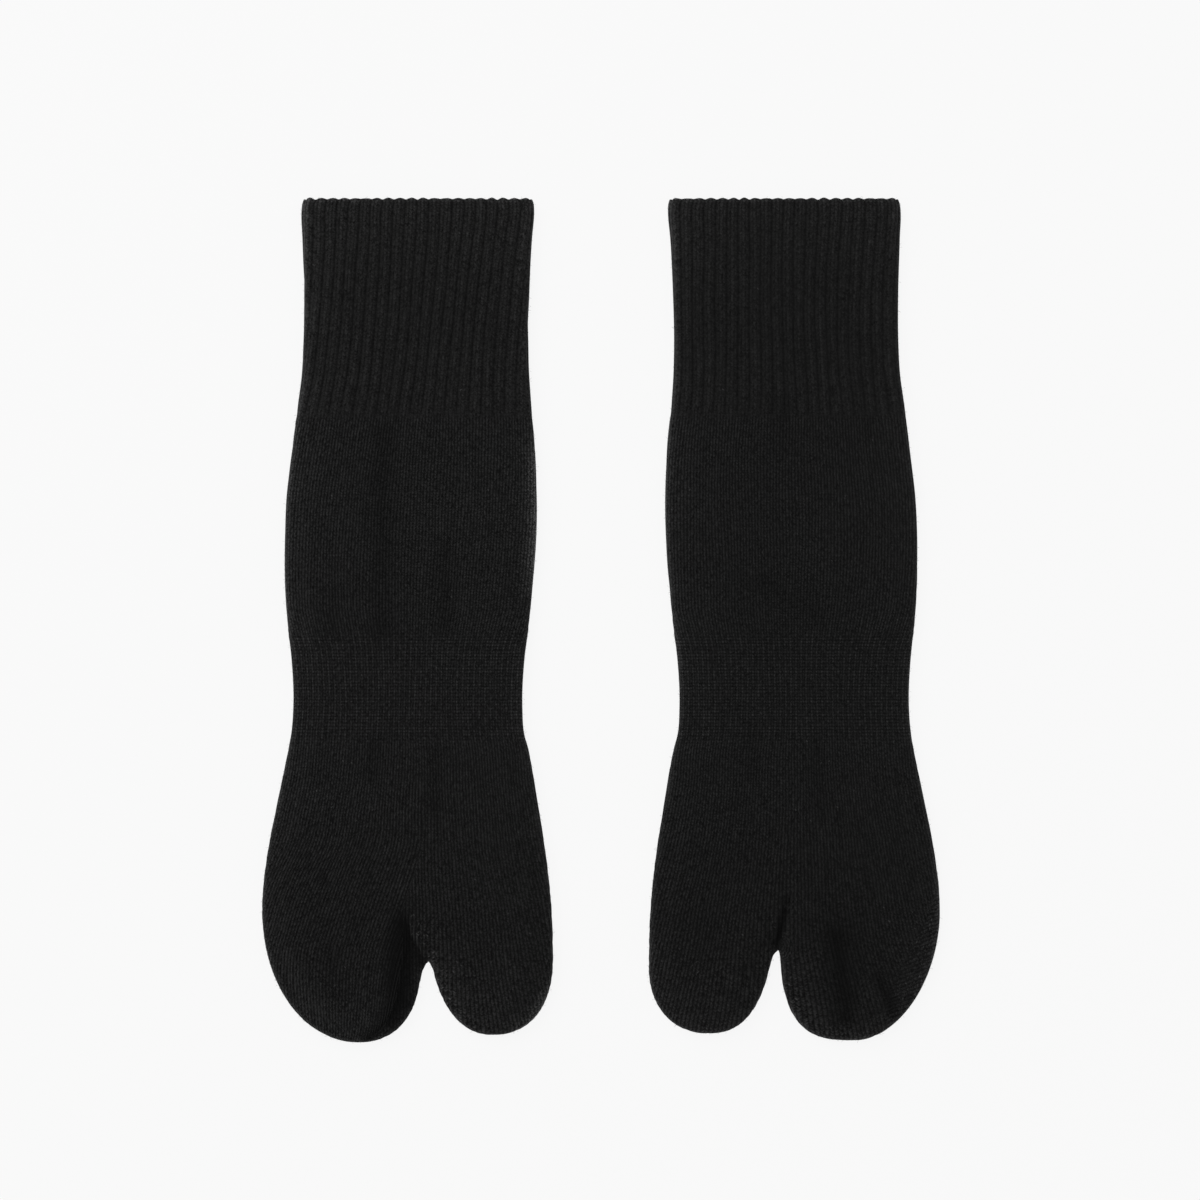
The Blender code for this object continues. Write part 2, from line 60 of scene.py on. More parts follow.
# The knit
COURSE = 0.93                # height of one course
MIDDLE_WALE = 42.0           # the wale down the middle of the top, at the mouth
WALES_LISTED = 75            # to each side of it
WALE_COUNTS = (              # between the folded edges, by the distance from the mouth
    (0.0, 76.0), (142.0, 76.0), (155.0, 81.0), (184.0, 81.0), (200.0, 84.0),
)
WALES_IN_RIB = 4             # three raised, one sunk
RAISED_SHARE = 3.0 / 4.0     # the raised ones spread over the sunk one
CUFF_END, RIB_RUN_OUT = 75.0, 4.0    # where the ribs end, and how softly
ARCH_START, ARCH_END = 149.5, 187.0
ARCH_EASE, ARCH_SINK = 4.0, 0.4      # how softly the arch band sinks in, and how far
ARCH_ROW = 1.14              # height of one row of the arch's open stitches
PARALLEL_FROM = 243.0        # below this the tube no longer widens the wales
FAN_REACH, FAN_LIMIT = 45.0, 1.3     # from the toe split to the outer edges
FAN_EASE = 0.45              # the wales part quickly beside the toe split, then evenly
WANDER_START, WANDER_EASE = 3.0, 6.0 # the wales run straight beside the folded edges
WANDERS = (                  # how far they stray, in wales, then how slowly down and by wale
    (0.28, 19.0, 8.5), (0.12, 6.7, -3.1),
)
MOUTH_SCALLOP, SCALLOP_FADE = 0.13, 5.0  # the ribs reach out at the mouth, less further down
SCALLOP_WAVES = (0.7, 5.3), (0.5, 2.1)   # how unevenly, and over how many wales
CORNER_ROUND, CORNER_DRAW = 2.6, 0.7     # the mouth's corners are drawn in
LIP_LENGTH, LIP_TURNS = 0.8, 6           # the rounding at the mouth, and the rows round it

# Relief of the knit, outwards from the cloth
RIB_CREST, RIB_VALLEY, RIB_VALLEY_WIDTH = 0.12, 0.4, 0.78    # the width is in wales
RIB_WALE, PLAIN_WALE = 0.03, 0.09    # of one wale in a rib, and in the plain knit
ARCH_PAIR, ARCH_WALE = 0.05, 0.05    # of a pair of wales in the arch band, and of one
RIDGE_LUMP, LUMP_SIZE = 0.13, 0.55   # of the lumps where lint lies
LUMP_SWAYS = (2.0, 0.8), (1.7, 0.9)  # how far the lumps sway off a grid, and how slowly

# Slow waves in the top layer
WAVE_HEIGHT, WAVE_ACROSS, WAVE_DOWN = 0.16, 8.5, 14.0
WAVE_SWAY, WAVE_LEAN = 1.4, 2.7

# How finely the cloth is divided
WALE_STEPS = {"top": 4.0, "under": 1.0, "lining": 0.6}   # columns in one wale
FOLD_COLUMNS = {"top": 8, "under": 5, "lining": 2}       # round a folded edge
TUBE_GAP = {"outer": 2.1, "lining": 5.0}                 # between the tube's rows
POCKET_ROWS = {"outer": 44, "lining": 14}
BEFORE_SPLIT = (             # rows this far above the toe split
    14.0, 12.6, 11.3, 10.0, 8.8, 7.7, 6.7, 5.7, 4.8, 3.9, 3.1, 2.3, 1.6, 1.1, 0.7, 0.35, 0.12,
)
LINING_BEFORE_SPLIT = (8.0, 4.0, 1.5, 0.4)
TUBE_END_GAP = {"outer": 0.8, "lining": 2.0}     # above the rows before the split
NEAR_GAP, FAR_GAP = 0.55, 0.45       # share of the gap near a change of knit, and the rest
CHANGE_START, CHANGE_EASE = 1.0, 4.0 # how far off the gap starts to widen, and over what
SEAM_GAP = 0.08              # between the last wale of one part and the first of the next
SEAM_KEY, RIM_KEY = 1.0e4, 1.0e6
SAME_KEY = 0.1               # points whose keys differ by less face each other
BESIDE_SEAM = 0.15           # from the key of a wale to that of the seam beside it
LEAST_SEAMED = 1.0           # a narrower row has no room for a seam
MARGIN = 0.4                 # least gap between columns, as a share of the usual one
PINCH_MARGIN = 0.3
SLOPE_STEP = 0.05            # an edge's slope is measured this far up and down
FOLD_LIMIT = 0.45            # widest fold, as a share of the width
OUTLINE_START, OUTLINE_GAP, OUTLINE_ROWS = -12.0, 1.5, 60    # of the line round the edge

# The folded tube: how far its edges lie from the middle, and the height of its crown.
TUBE_COLUMNS = ("down", "little_toe_side", "big_toe_side", "crown")
TUBE = (
    (0.0, 39.7, 39.8, 4.9),
    (4.0, 40.1, 40.0, 5.0),
    (14.0, 39.8, 39.2, 5.1),
    (35.0, 39.3, 38.4, 5.2),
    (50.0, 39.4, 38.1, 5.2),
    (61.0, 40.0, 38.3, 5.3),
    (71.0, 41.4, 39.0, 5.5),
    (87.0, 43.4, 40.4, 5.8),
    (102.0, 45.2, 41.0, 6.1),
    (118.0, 45.9, 40.7, 6.2),
    (133.0, 45.8, 39.6, 6.1),
    (149.0, 44.7, 38.0, 5.9),
    (159.0, 43.6, 36.8, 5.8),
    (175.0, 43.0, 36.1, 5.8),
    (185.0, 43.8, 36.8, 5.9),
    (190.0, 44.7, 38.1, 6.0),
    (206.0, 48.0, 40.9, 6.2),
    (226.0, 51.9, 44.1, 6.6),
    (239.0, 53.5, 45.6, 7.0),
    (249.0, 53.8, 46.3, 7.4),
    (262.0, 53.8, 46.6, 7.8),
    (292.0, 53.8, 46.6, 7.8),
)

# The two toe pockets: a quarter of a superellipse on each side of each tip.
POCKET_COLUMNS = (
    "toes", "tip_across", "tip_down", "outer_start", "outer_power",
    "split_reach", "split_start", "split_power", "split_ease",
)
TIP_FADE = 4.0               # the split's rounding fades out this close to a tip
LEDGE_COLUMNS = ("start", "first_bend", "second_bend", "end", "width", "drop")
LEDGE_POINTS = 24
LEDGE_RUN_IN = 3.5           # the step is whole after one part in this many
RIDGE_WIDTH = 3.0

# A run is a soft stripe from one plan point to another. A trough's amount is its depth,
# a shade's is how much of the light it takes as painted shade, a pale stripe's is how much
# paler the edge is painted along it as a painted highlight, and lint's is how thick the lint lies.
RUN_COLUMNS = (
    "from_across", "from_down", "to_across", "to_down", "half_width", "amount",
)
STRIPE_FALL, STRIPE_POWER = 0.75, 2.6    # how a stripe fades out to its sides

# How the wales run: how many of them the tube has turned round by, then how far they
# are drawn out over each outer edge, and how far the four-toe side has slid, in mm.
DRIFT_COLUMNS = ("down", "turned", "little_toe_fan", "big_toe_fan", "slide")

# The light that the cloth gives back, painted into its colour: its tone along the sock, painted
# shade in troughs and a painted lit side
TONES = (                    # how much of it, by the distance from the mouth
    (0.0, 1.26), (12.0, 1.12), (30.0, 0.96), (45.0, 0.93), (90.0, 0.98), (150.0, 1.0),
    (187.0, 0.99), (205.0, 0.96), (235.0, 0.87), (252.0, 0.84), (264.0, 0.9), (276.0, 1.02),
    (292.0, 1.25),
)
TROUGH_SHADE = 0.5           # how much light a very deep trough takes
SHADE_GROWTH = 1.1           # and how fast that grows with the depth
SIDES = (                    # how much paler the side towards the lamp is, in the same way
    (0.0, 0.38), (60.0, 0.38), (105.0, 0.5), (130.0, 0.28), (165.0, 0.4), (190.0, 0.22),
    (225.0, 0.15), (292.0, 0.2),
)
FAR_SIDE = 0.6               # the other side's share of that
SIDE_REACH = 9.0             # and how far in it reaches

RIGHT = {
    "split": (3.6, 263.0),
    "pockets": (
        ("four", -20.5, 290.9, 245.0, 2.05, 21.0, 266.0, 2.25, 3.2),
        ("big", 25.7, 288.3, 261.5, 2.3, 22.0, 249.5, 2.2, 1.2),
    ),
    "troughs": (
        (-10.8, 82.0, -12.4, 150.0, 4.5, 0.8),
        (10.6, 122.0, 10.2, 148.0, 3.6, 0.65),
        (-28.0, 138.0, -29.0, 148.0, 4.0, 0.5),
        (-14.5, 187.0, -15.0, 199.0, 3.5, 0.6),
        (7.0, 191.0, 6.6, 210.0, 3.5, 0.6),
        (-30.0, 262.0, -24.0, 274.0, 4.5, 0.7),
    ),
    "ledge": ((-4.4, 240.0), (-5.2, 262.0), (-5.0, 283.0), (-18.0, 291.0), 5.5, 3.4),
    "shades": (
        (-4.9, 249.5, -5.2, 256.0, 4.6, 0.86),
        (-5.2, 256.0, -5.0, 262.0, 5.8, 0.88),
        (-1.6, 256.0, 0.6, 262.0, 2.6, 0.78),
        (-5.7, 263.0, -6.1, 277.0, 5.4, 0.88),
        (-7.2, 253.0, -7.8, 262.0, 2.7, 0.84),
        (-7.8, 262.0, -8.4, 278.0, 2.8, 0.87),
        (-6.8, 277.0, -9.8, 282.6, 4.1, 0.87),
        (-9.8, 282.6, -17.2, 289.2, 2.5, 0.75),
        (-12.0, 128.0, -12.2, 149.5, 1.9, 0.1),
        (9.8, 132.0, 9.6, 149.5, 1.8, 0.08),
        (-11.0, 84.0, -12.0, 128.0, 3.4, 0.08),
    ),
    # pale stripes: painted highlights along the edges
    "pale": (
        (40.7, 94.0, 41.0, 124.0, 8.0, 6.0),
        (-39.7, 0.0, -39.4, 40.0, 9.0, 1.6),
        (-41.0, 60.0, -45.6, 140.0, 12.0, 0.9),
        (43.6, 276.0, 38.6, 284.0, 4.5, 4.2),
        (-45.0, 200.0, -46.0, 235.0, 12.0, 0.6),
    ),
    "lint": (
        (-1.6, 247.0, 1.4, 252.5, 1.7, 0.7),
        (1.4, 252.5, 5.0, 261.0, 2.1, 0.9),
        (5.6, 262.5, 10.6, 275.5, 2.3, 0.6),
        (10.6, 275.5, 16.5, 283.5, 1.6, 0.7),
    ),
    "patch": None,
    "seam": ((4.5, 215.0), (-1.0, 232.0), (-4.4, 241.0)),
    "drift": (
        (0.0, 0.0, 0.0, 0.0, 0.0),
        (12.0, 0.25, 0.0, 0.0, 0.0),
        (30.0, 1.5, 0.0, 0.0, 0.0),
        (60.0, 3.9, 0.0, 0.0, 0.0),
        (75.0, 5.1, 0.0, 0.0, 0.0),
        (86.0, 5.8, 0.0, 0.0, 0.0),
        (100.0, 6.3, 0.0, 0.0, 0.0),
        (135.0, 6.9, 0.0, 0.0, 0.0),
        (187.0, 7.1, 0.0, 0.0, 0.0),
        (210.0, 7.3, 0.4, 0.0, 0.0),
        (222.0, 7.5, 1.0, 0.2, 0.0),
        (231.0, 7.6, 1.3, 1.2, 2.6),
        (243.0, 7.6, 0.9, 3.2, 7.0),
        (252.0, 7.6, 0.1, 4.8, 10.4),
        (258.0, 7.6, 0.0, 5.8, 12.4),
        (266.0, 7.6, -1.2, 7.2, 14.5),
        (275.0, 7.6, -3.2, 8.8, 16.3),
        (292.0, 7.6, -7.0, 12.0, 19.0),
    ),
    "turned_edge": None,
    "phase": 0.7,
}
LEFT = {
    "split": (2.0, 259.2),
    "pockets": (
        ("four", -24.3, 290.2, 246.0, 1.9, 25.8, 250.5, 3.1, 1.0),
        ("big", 26.5, 287.8, 265.0, 2.15, 23.8, 236.0, 2.55, 1.4),
    ),
    "troughs": (
        (1.0, 73.0, 1.5, 86.0, 4.0, 0.5),
        (7.5, 134.0, -11.0, 144.0, 4.5, 0.6),
        (11.0, 186.0, 10.5, 199.0, 3.5, 0.6),
        (-11.0, 190.0, -11.5, 210.0, 3.5, 0.6),
        (-1.0, 242.0, 2.6, 257.5, 1.8, 2.0),
        (-18.2, 255.0, -21.8, 281.0, 4.3, 2.3),
        (-32.0, 268.0, -37.0, 279.0, 2.6, 1.5),
    ),
    "ledge": None,
    "shades": (
        (-20.0, 252.0, -22.4, 278.0, 9.0, 0.24),
        (-19.2, 255.0, -20.9, 279.0, 6.0, 0.36),
        (-19.6, 262.0, -20.9, 276.0, 3.4, 0.46),
        (-33.6, 271.0, -36.6, 278.4, 2.2, 0.4),
        (-0.3, 244.8, 2.7, 258.6, 1.1, 0.5),
        (0.8, 248.0, 2.4, 256.0, 1.0, 0.8),
    ),
    # pale stripes: painted highlights along the edges
    "pale": (
        (-53.0, 236.0, -53.8, 262.0, 9.0, 1.8),
        (-24.0, 290.4, -6.0, 282.0, 6.0, 1.4),
        (45.0, 262.0, 34.0, 286.0, 8.0, 0.8),
        (39.4, 0.0, 39.0, 150.0, 12.0, 0.8),
    ),
    "lint": (
        (-2.6, 242.6, -0.4, 245.0, 1.2, 1.0),
        (4.4, 247.0, 3.8, 253.0, 1.1, 0.6),
        (-0.6, 262.0, -4.6, 276.0, 2.0, 0.12),
        (-4.6, 276.0, -14.0, 286.0, 1.8, 0.14),
        (-50.0, 248.0, -46.0, 272.0, 4.0, 0.25),
    ),
    "patch": (2.4, 257.8, 5.4),
    "seam": None,
    "drift": (
        (0.0, 0.0, 0.0, 0.0, 0.0),
        (20.0, -0.9, 0.0, 0.0, 0.0),
        (36.0, -1.3, 0.0, 0.0, 0.0),
        (70.0, -1.2, 0.0, 0.0, 0.0),
        (90.0, -1.7, 0.0, 0.0, 0.0),
        (122.0, -2.2, 0.0, 0.0, 0.0),
        (145.0, -3.2, 0.0, 0.0, 0.0),
        (187.0, -3.6, 0.0, 0.0, 0.0),
        (220.0, -3.9, 0.0, 0.4, 0.0),
        (235.0, -4.3, 1.2, 2.0, 0.0),
        (249.0, -4.8, 3.8, 4.2, 0.0),
        (259.0, -5.0, 6.6, 6.2, 0.0),
        (269.0, -5.0, 10.4, 8.4, 0.0),
        (279.0, -5.0, 14.0, 10.8, 0.0),
        (292.0, -5.0, 18.0, 14.0, 0.0),
    ),
    "turned_edge": (
        (238.0, 0.0), (248.0, 5.5), (260.0, 9.8), (272.0, 9.6), (281.0, 5.0), (287.0, 0.0),
    ),
    "phase": 2.9,
}

# Hand, table, side to build on, tone, grain and seed of the fibres
PAIR = (
    ("right", RIGHT, 1, 1.06, 0.97, 11),
    ("left", LEFT, -1, 0.94, 0.87, 23),
)

# Wales that come up from underneath at the outer edge of the left sock's four toes
TURNED_COLUMNS = ("down", "width")
TURNED_LEAN = math.radians(20.0)
TURNED_WALE = 1.3            # from one of them to the next
TURNED_RIPPLE, RIPPLE_SIZE = 0.5, 1.9    # how uneven the border with the others is
TURNED_LEAST, TURNED_EASE = 0.6, 0.8
# The small gusset at the top of the left sock's toe split has its stitches in arcs, on
# one side of a slit that leans
PATCH_WALE, PATCH_ROUND, PATCH_EASE = 0.95, 3.4, 0.7
SLIT_LEAN, SLIT_SHIFT, SLIT_EASE = 0.42, 0.2, 0.5

# The looks
YARN_COLOUR = 0.0065
YARN_ROUGHNESS, LOOP_POLISH = 0.9, 0.1
YARN_SHINE = 0.08
FUZZ_SHEEN, SHEEN_ROUGHNESS = 0.05, 0.5
EDGE_HIGHLIGHT, EDGE_WIDTH = 0.8, 1.1     # painted highlight: how much paler the yarn is painted along the folded edges
RIM_HIGHLIGHT, RIM_WIDTH = 1.8, 0.8       # painted highlight round the mouth too, and how far in from it, in mm
RIM_CRESTS = 0.3             # how much of the mouth's painted highlight follows the ribs
PALE_WIDTH = 1.5             # how far in a pale stripe, a painted highlight along an edge, reaches, in mm
FIBRE_COLOUR, FIBRE_LEAST, FIBRE_RANGE = 0.024, 0.7, 0.6
FLOOR_COLOUR, FLOOR_GLOW = 0.05, 0.898

# The stitches
STITCH_SLANT = 0.9           # how steeply the two legs of a stitch run
STITCH_HEIGHT = 0.00022      # in metres
# STITCH_CONTRAST paints the loops' crests lighter and the gaps between them darker, as painted
# shade
STITCH_CONTRAST, STITCH_BEAD, LOOP_MEAN = 1.28, 0.4, 0.58
STITCH_LUMP = 0.3            # how much higher some stitches stand
LEG_CELLS, LEG_DRAW = 3.0, 0.37      # the yarn of a leg varies this often in one course
UNEVEN_STITCH, UNEVEN_YARN = 0.34, 3.2
LEG_SKEW, LEG_MEAN = 0.9, 0.8        # few legs are much lighter than the rest
CLOUDS = 0.1                 # how much large soft patches differ

# The ribs: how far they stand out in painted light and shade, lighter on the crests and darker in
# the sunk valleys, how far they wander in wales, and how uneven they are
RIB_CONTRAST, RIB_DARKENING, RIB_WANDER = 0.19, 0.05, 1.6
RIB_LEAST, RIB_RANGE = 0.2, 1.6
VALLEY_START, VALLEY_FULL = -0.3, -1.0
STREAKS = 0.6                # how much the wales of the cuff differ
STREAKS_IN_WALE, STREAKS_IN_COURSE = 0.45, 0.022
CUFF_SOFTER, SOFTER_BY = 0.95, 20.0  # the wales fade from the mouth to this station
CUFF_SMOOTHER = 0.15         # and its yarn is this much less uneven

# The arch, the forefoot and the lint
ARCH_CONTRAST, ARCH_SOFTER = 0.14, 0.45
HOLE_SHADE, HOLE_DEPTH, ARCH_PALER = 0.4, 0.5, 0.08
ARCH_BEAD, BEAD_IN_PAIRS = 0.46, 0.3
FOOT_GRAIN, FOOT_REACH = 0.25, 30.0
LINT_GRAIN, LINT_SPARKLE = 0.45, 2.8
SPECK = 3.0                  # how much lighter a speck of lint is
SPECK_START, LINT_SPECKS = 0.9997, 0.05
CLOUD_SCALE, GRAIN_SCALE, RIB_SCALE = 90.0, 2400.0, 170.0

# How the cloth is laid out flat for the bake
LINING_SHARE = 0.2           # the lining is laid out this much shorter
TOP_SHARE = 0.66             # of the map, for the top
MAP_GAP = 0.004

# The loose fibres, in metres
FIBRES_PER_AREA = 0.26e6     # where the nap is 1
FIBRE_LENGTH, FIBRE_THICKNESS = 0.0009, 0.00004
FIBRE_BENDS = (0.1, 0.6), (0.7, 0.65)    # how far aside and out its middle and its tip are
FIBRE_SIZES = (0.45, 1.3)    # the least and the most, as a share of the length
FIBRE_TILT = 0.9             # most lean, in radians
NAP_LIMIT, NAP_LEAST, NAP_AT_EDGE = 1.2, 0.6, 0.8    # thicker where the painted light is strong, thinner in painted shade, and at edges

# The table, the light and the camera, in metres
FLOOR_HEIGHT = -0.0001
FLOOR_REACH = 6.0
SKY_LIGHT = 0.62
LAMP_PLACE, LAMP_SIZE, LAMP_POWER = (-1.2, 1.4, 1.5), 1.8, 38.0
LENS, SENSOR = 85.0, 36.0    # in millimetres
VIEW_WIDTH = 0.414
VIEW_CENTRE = (-0.00035, 0.00695)


def smooth_step(value):
    """Ease from 0 to 1 with level ends."""
    limited = np.clip(value, 0.0, 1.0)
    return limited * limited * (3.0 - 2.0 * limited)


def read_table(rows, columns):
    """Give a table's columns by name, as arrays."""
    return {name: np.array([row[i] for row in rows]) for i, name in enumerate(columns)}


def read_along(table, column, down):
    """Read a table's column at a station, on a smooth curve through its rows."""
    stations, values = table["down"], table[column]
    slopes = np.gradient(values, stations)
    row = int(np.clip(np.searchsorted(stations, down) - 1, 0, len(stations) - 2))
    span = stations[row + 1] - stations[row]
    t = np.clip((down - stations[row]) / span, 0.0, 1.0)
    return (
        values[row] * (2 * t**3 - 3 * t**2 + 1)
        + slopes[row] * span * (t**3 - 2 * t**2 + t)
        + values[row + 1] * (3 * t**2 - 2 * t**3)
        + slopes[row + 1] * span * (t**3 - t**2)
    )


TUBE_TABLE = read_table(TUBE, TUBE_COLUMNS)


def distance_to_run(points, run):
    """Distance of each plan point from a run's middle line."""
    start = np.array((run["from_across"], run["from_down"]))
    along = np.array((run["to_across"], run["to_down"])) - start
    share = np.clip((points - start) @ along / (along @ along), 0.0, 1.0)
    return np.linalg.norm(points - start - share[:, None] * along, axis=1)


def strongest_run(points, runs):
    """The largest amount that any soft stripe has at each plan point."""
    most = np.zeros(len(points))
    for run in runs:
        gap = distance_to_run(points, run) / run["half_width"]
        most = np.maximum(most, run["amount"] * np.exp(-STRIPE_FALL * gap**STRIPE_POWER))
    return most


def nearest_places(points, line):
    """The runs of a line, and for each point the nearest share of each and the gap to it."""
    starts, runs = line[:-1], np.diff(line, axis=0)
    offsets = points[:, None, :] - starts[None, :, :]
    share = np.sum(offsets * runs, axis=2) / np.maximum(np.sum(runs * runs, axis=1), 1e-9)
    share = np.clip(share, 0.0, 1.0)
    return runs, share, offsets - share[:, :, None] * runs


class SockForm:
    """The plan, the heights and the run of the wales of one sock."""

    def __init__(
        self, split, pockets, troughs, ledge, shades, pale, lint, patch, seam, drift,
        turned_edge, phase,
    ):
        self.split_across, self.split_down = split
        self.pockets = {row[0]: dict(zip(POCKET_COLUMNS, row)) for row in pockets}
        self.troughs, self.shades, self.pale, self.lint = (
            [dict(zip(RUN_COLUMNS, row)) for row in rows]
            for rows in (troughs, shades, pale, lint)
        )
        self.patch = patch
        self.ledge = dict(zip(LEDGE_COLUMNS, ledge)) if ledge else None
        self.drift = read_table(drift, DRIFT_COLUMNS)
        self.turned_edge = read_table(turned_edge, TURNED_COLUMNS) if turned_edge else None
        self.phase = phase
        self.outlines = {}
        self.seam_line = np.array(list(seam) + list(self.ledge_line()[1:])) if seam else None

    def outer_edge(self, toes, down, inset):
        """A pocket's outer edge, or the tube's own edge above its start."""
        pocket = self.pockets[toes]
        side = -1.0 if toes == "four" else 1.0
        column = "little_toe_side" if toes == "four" else "big_toe_side"
        start = pocket["outer_start"]
        if down <= start:
            drawn_in = CORNER_DRAW * max(1.0 - max(down, 0.0) / CORNER_ROUND, 0.0) ** 2
            return side * (read_along(TUBE_TABLE, column, down) - inset - drawn_in)
        tip_down = pocket["tip_down"] - inset
        width = read_along(TUBE_TABLE, column, start) - inset
        reach = side * width - pocket["tip_across"]
        share = min((down - start) / (tip_down - start), 1.0)
        power = pocket["outer_power"]
        return pocket["tip_across"] + reach * (1.0 - share**power) ** (1.0 / power)

    def tube_edges(self, down, inset):
        """Both edges of the folded tube."""
        return self.outer_edge("four", down, inset), self.outer_edge("big", down, inset)

    def split_edge(self, toes, down, inset):
        """A pocket's edge along the split, rounded in to the split's top."""
        pocket = self.pockets[toes]
        side = 1.0 if toes == "four" else -1.0
        start, power = pocket["split_start"], pocket["split_power"]
        top = self.split_down - inset

        def plain(at):
            share = np.clip((at - start) / (pocket["tip_down"] - inset - start), 0.0, 1.0)
            reach = pocket["split_reach"] - inset
            return pocket["tip_across"] + side * reach * (1.0 - share**power) ** (1.0 / power)

        ease = pocket["split_ease"] + inset
        pull = (self.split_across - plain(top)) * math.exp(-(down - top) / ease)
        tip_down = pocket["tip_down"] - inset
        return plain(down) + pull * smooth_step((tip_down - down) / TIP_FADE)

    def pocket_edges(self, toes, down, inset):
        """Both edges of a pocket, in the order of across."""
        edges = self.outer_edge(toes, down, inset), self.split_edge(toes, down, inset)
        return edges if toes == "four" else edges[::-1]

    def pocket_stations(self, toes, inset, rows):
        """Rings down a pocket, closer together at the split and at the tip."""
        top = self.split_down - inset
        length = self.pockets[toes]["tip_down"] - inset - top
        turns = [math.pi * i / rows for i in range(1, rows)]
        return [top + length * (1.0 - math.cos(turn)) / 2.0 for turn in turns]

    def outline(self, inset):
        """Plan points all round the edge, from mouth to mouth."""
        if inset not in self.outlines:
            points = []
            leg = np.arange(OUTLINE_START, self.split_down - inset, OUTLINE_GAP)
            points += [(self.tube_edges(d, inset)[0], d) for d in leg]
            for toes in ("four", "big"):
                stations = self.pocket_stations(toes, inset, OUTLINE_ROWS)
                tip = (self.pockets[toes]["tip_across"], self.pockets[toes]["tip_down"] - inset)
                first = [(self.pocket_edges(toes, d, inset)[0], d) for d in stations]
                second = [(self.pocket_edges(toes, d, inset)[1], d) for d in stations]
                points += first + [tip] + second[::-1]
                if toes == "four":
                    points.append((self.split_across, self.split_down - inset))
            points += [(self.tube_edges(d, inset)[1], d) for d in leg[::-1]]
            self.outlines[inset] = np.array(points)
        return self.outlines[inset]

    def edge_distance(self, points, inset):
        """How far plan points lie inside the edge."""
        gaps = nearest_places(points, self.outline(inset))[2]
        return np.sqrt(np.min(np.sum(gaps**2, axis=2), axis=1))

    def ledge_line(self):
        """Points down the curved line where the top layer steps down."""
        t = np.linspace(0.0, 1.0, LEDGE_POINTS)[:, None]
        corners = [np.array(self.ledge[name]) for name in LEDGE_COLUMNS[:4]]
        weights = ((1 - t) ** 3, 3 * t * (1 - t) ** 2, 3 * t * t * (1 - t), t**3)
        return sum(weight * corner for weight, corner in zip(weights, corners))

    def ledge_step(self, points):
        """How far the top layer has stepped down, from 0 to 1, at plan points."""
        if self.ledge is None:
            return np.zeros(len(points))
        runs, share, gaps = nearest_places(points, self.ledge_line())
        nearest = np.argmin(np.sum(gaps**2, axis=2), axis=1)
        rows = np.arange(len(points))
        gap, run = gaps[rows, nearest], runs[nearest]
        turned = run[:, 1] * gap[:, 0] - run[:, 0] * gap[:, 1]
        beyond = np.sign(turned) * np.linalg.norm(gap, axis=1)
        along = (nearest + share[rows, nearest]) / len(runs)
        step = smooth_step(beyond / self.ledge["width"] + 0.5) * smooth_step(along * LEDGE_RUN_IN)
        start_across, start_down = self.ledge["start"]
        ridge = np.interp(
            points[:, 1], (start_down, self.split_down), (start_across, self.split_across),
        )
        return step * smooth_step((ridge - points[:, 0]) / RIDGE_WIDTH)

    def relief(self, points, edge_distance):
        """Height of the top layer's swell, waves and troughs over a flat fold."""
        crown = read_along(TUBE_TABLE, "crown", float(points[0, 1]))
        swell = (crown - 2.0 * FOLD_RADIUS) * smooth_step(edge_distance / SWELL_REACH)
        drop = self.ledge["drop"] if self.ledge else 0.0
        sunk = drop * self.ledge_step(points) * smooth_step(edge_distance / FOLD_RADIUS)
        inside = smooth_step(edge_distance / TROUGH_FADE)
        for trough in self.troughs:
            gap = distance_to_run(points, trough) / trough["half_width"]
            sunk = sunk + inside * trough["amount"] * np.exp(-gap * gap)
        past_start = smooth_step((points[:, 1] - ARCH_START) / ARCH_EASE + 0.5)
        past_end = smooth_step((points[:, 1] - ARCH_END) / ARCH_EASE + 0.5)
        sunk = sunk + ARCH_SINK * inside * (past_start - past_end)
        across, down = points[:, 0], points[:, 1]
        wave = np.sin(across / WAVE_ACROSS + WAVE_SWAY * np.sin(down / WAVE_DOWN + self.phase))
        lean = across / (WAVE_LEAN * WAVE_ACROSS)
        wave = wave + np.sin(down / WAVE_DOWN - lean + 2.0 * self.phase)
        sunk = sunk + WAVE_HEIGHT * inside * (1.0 - 0.5 * wave)
        lowest = 2.0 * WALL + SLOT - 2.0 * FOLD_RADIUS
        return np.maximum(swell - sunk, np.minimum(lowest, swell))

    def heights(self, points, inset, level):
        """Height of plan points on one face, 1 the top and -1 the underside."""
        radius = FOLD_RADIUS - inset
        distance = self.edge_distance(points, inset)
        lacking = np.clip(1.0 - distance / radius, 0.0, 1.0)
        bulge = radius * np.sqrt(1.0 - lacking * lacking)
        if level < 0:
            return FOLD_RADIUS - bulge, distance
        return FOLD_RADIUS + bulge + self.relief(points, distance + inset), distance

    def wander(self, wale, down, laid, edges):
        """How far a wale strays from its straight run, in wales."""
        keep = smooth_step((laid - edges[0] - WANDER_START) / WANDER_EASE)
        keep = keep * smooth_step((edges[1] - laid - WANDER_START) / WANDER_EASE)
        return keep * sum(
            size * np.sin(down / slow + wale / wide + turn * self.phase)
            for turn, (size, slow, wide) in enumerate(WANDERS, 1)
        )

    def seam_across(self, down):
        """Where the slid wales meet the others, or None where none have slid."""
        if self.seam_line is None or down < self.drift_start:
            return None
        return float(np.interp(down, self.seam_line[:, 1], self.seam_line[:, 0]))

    @property
    def drift_start(self):
        """The last station where nothing has slid."""
        slid = self.drift["slide"] > 0.0
        return self.drift["down"][np.argmax(slid) - 1]

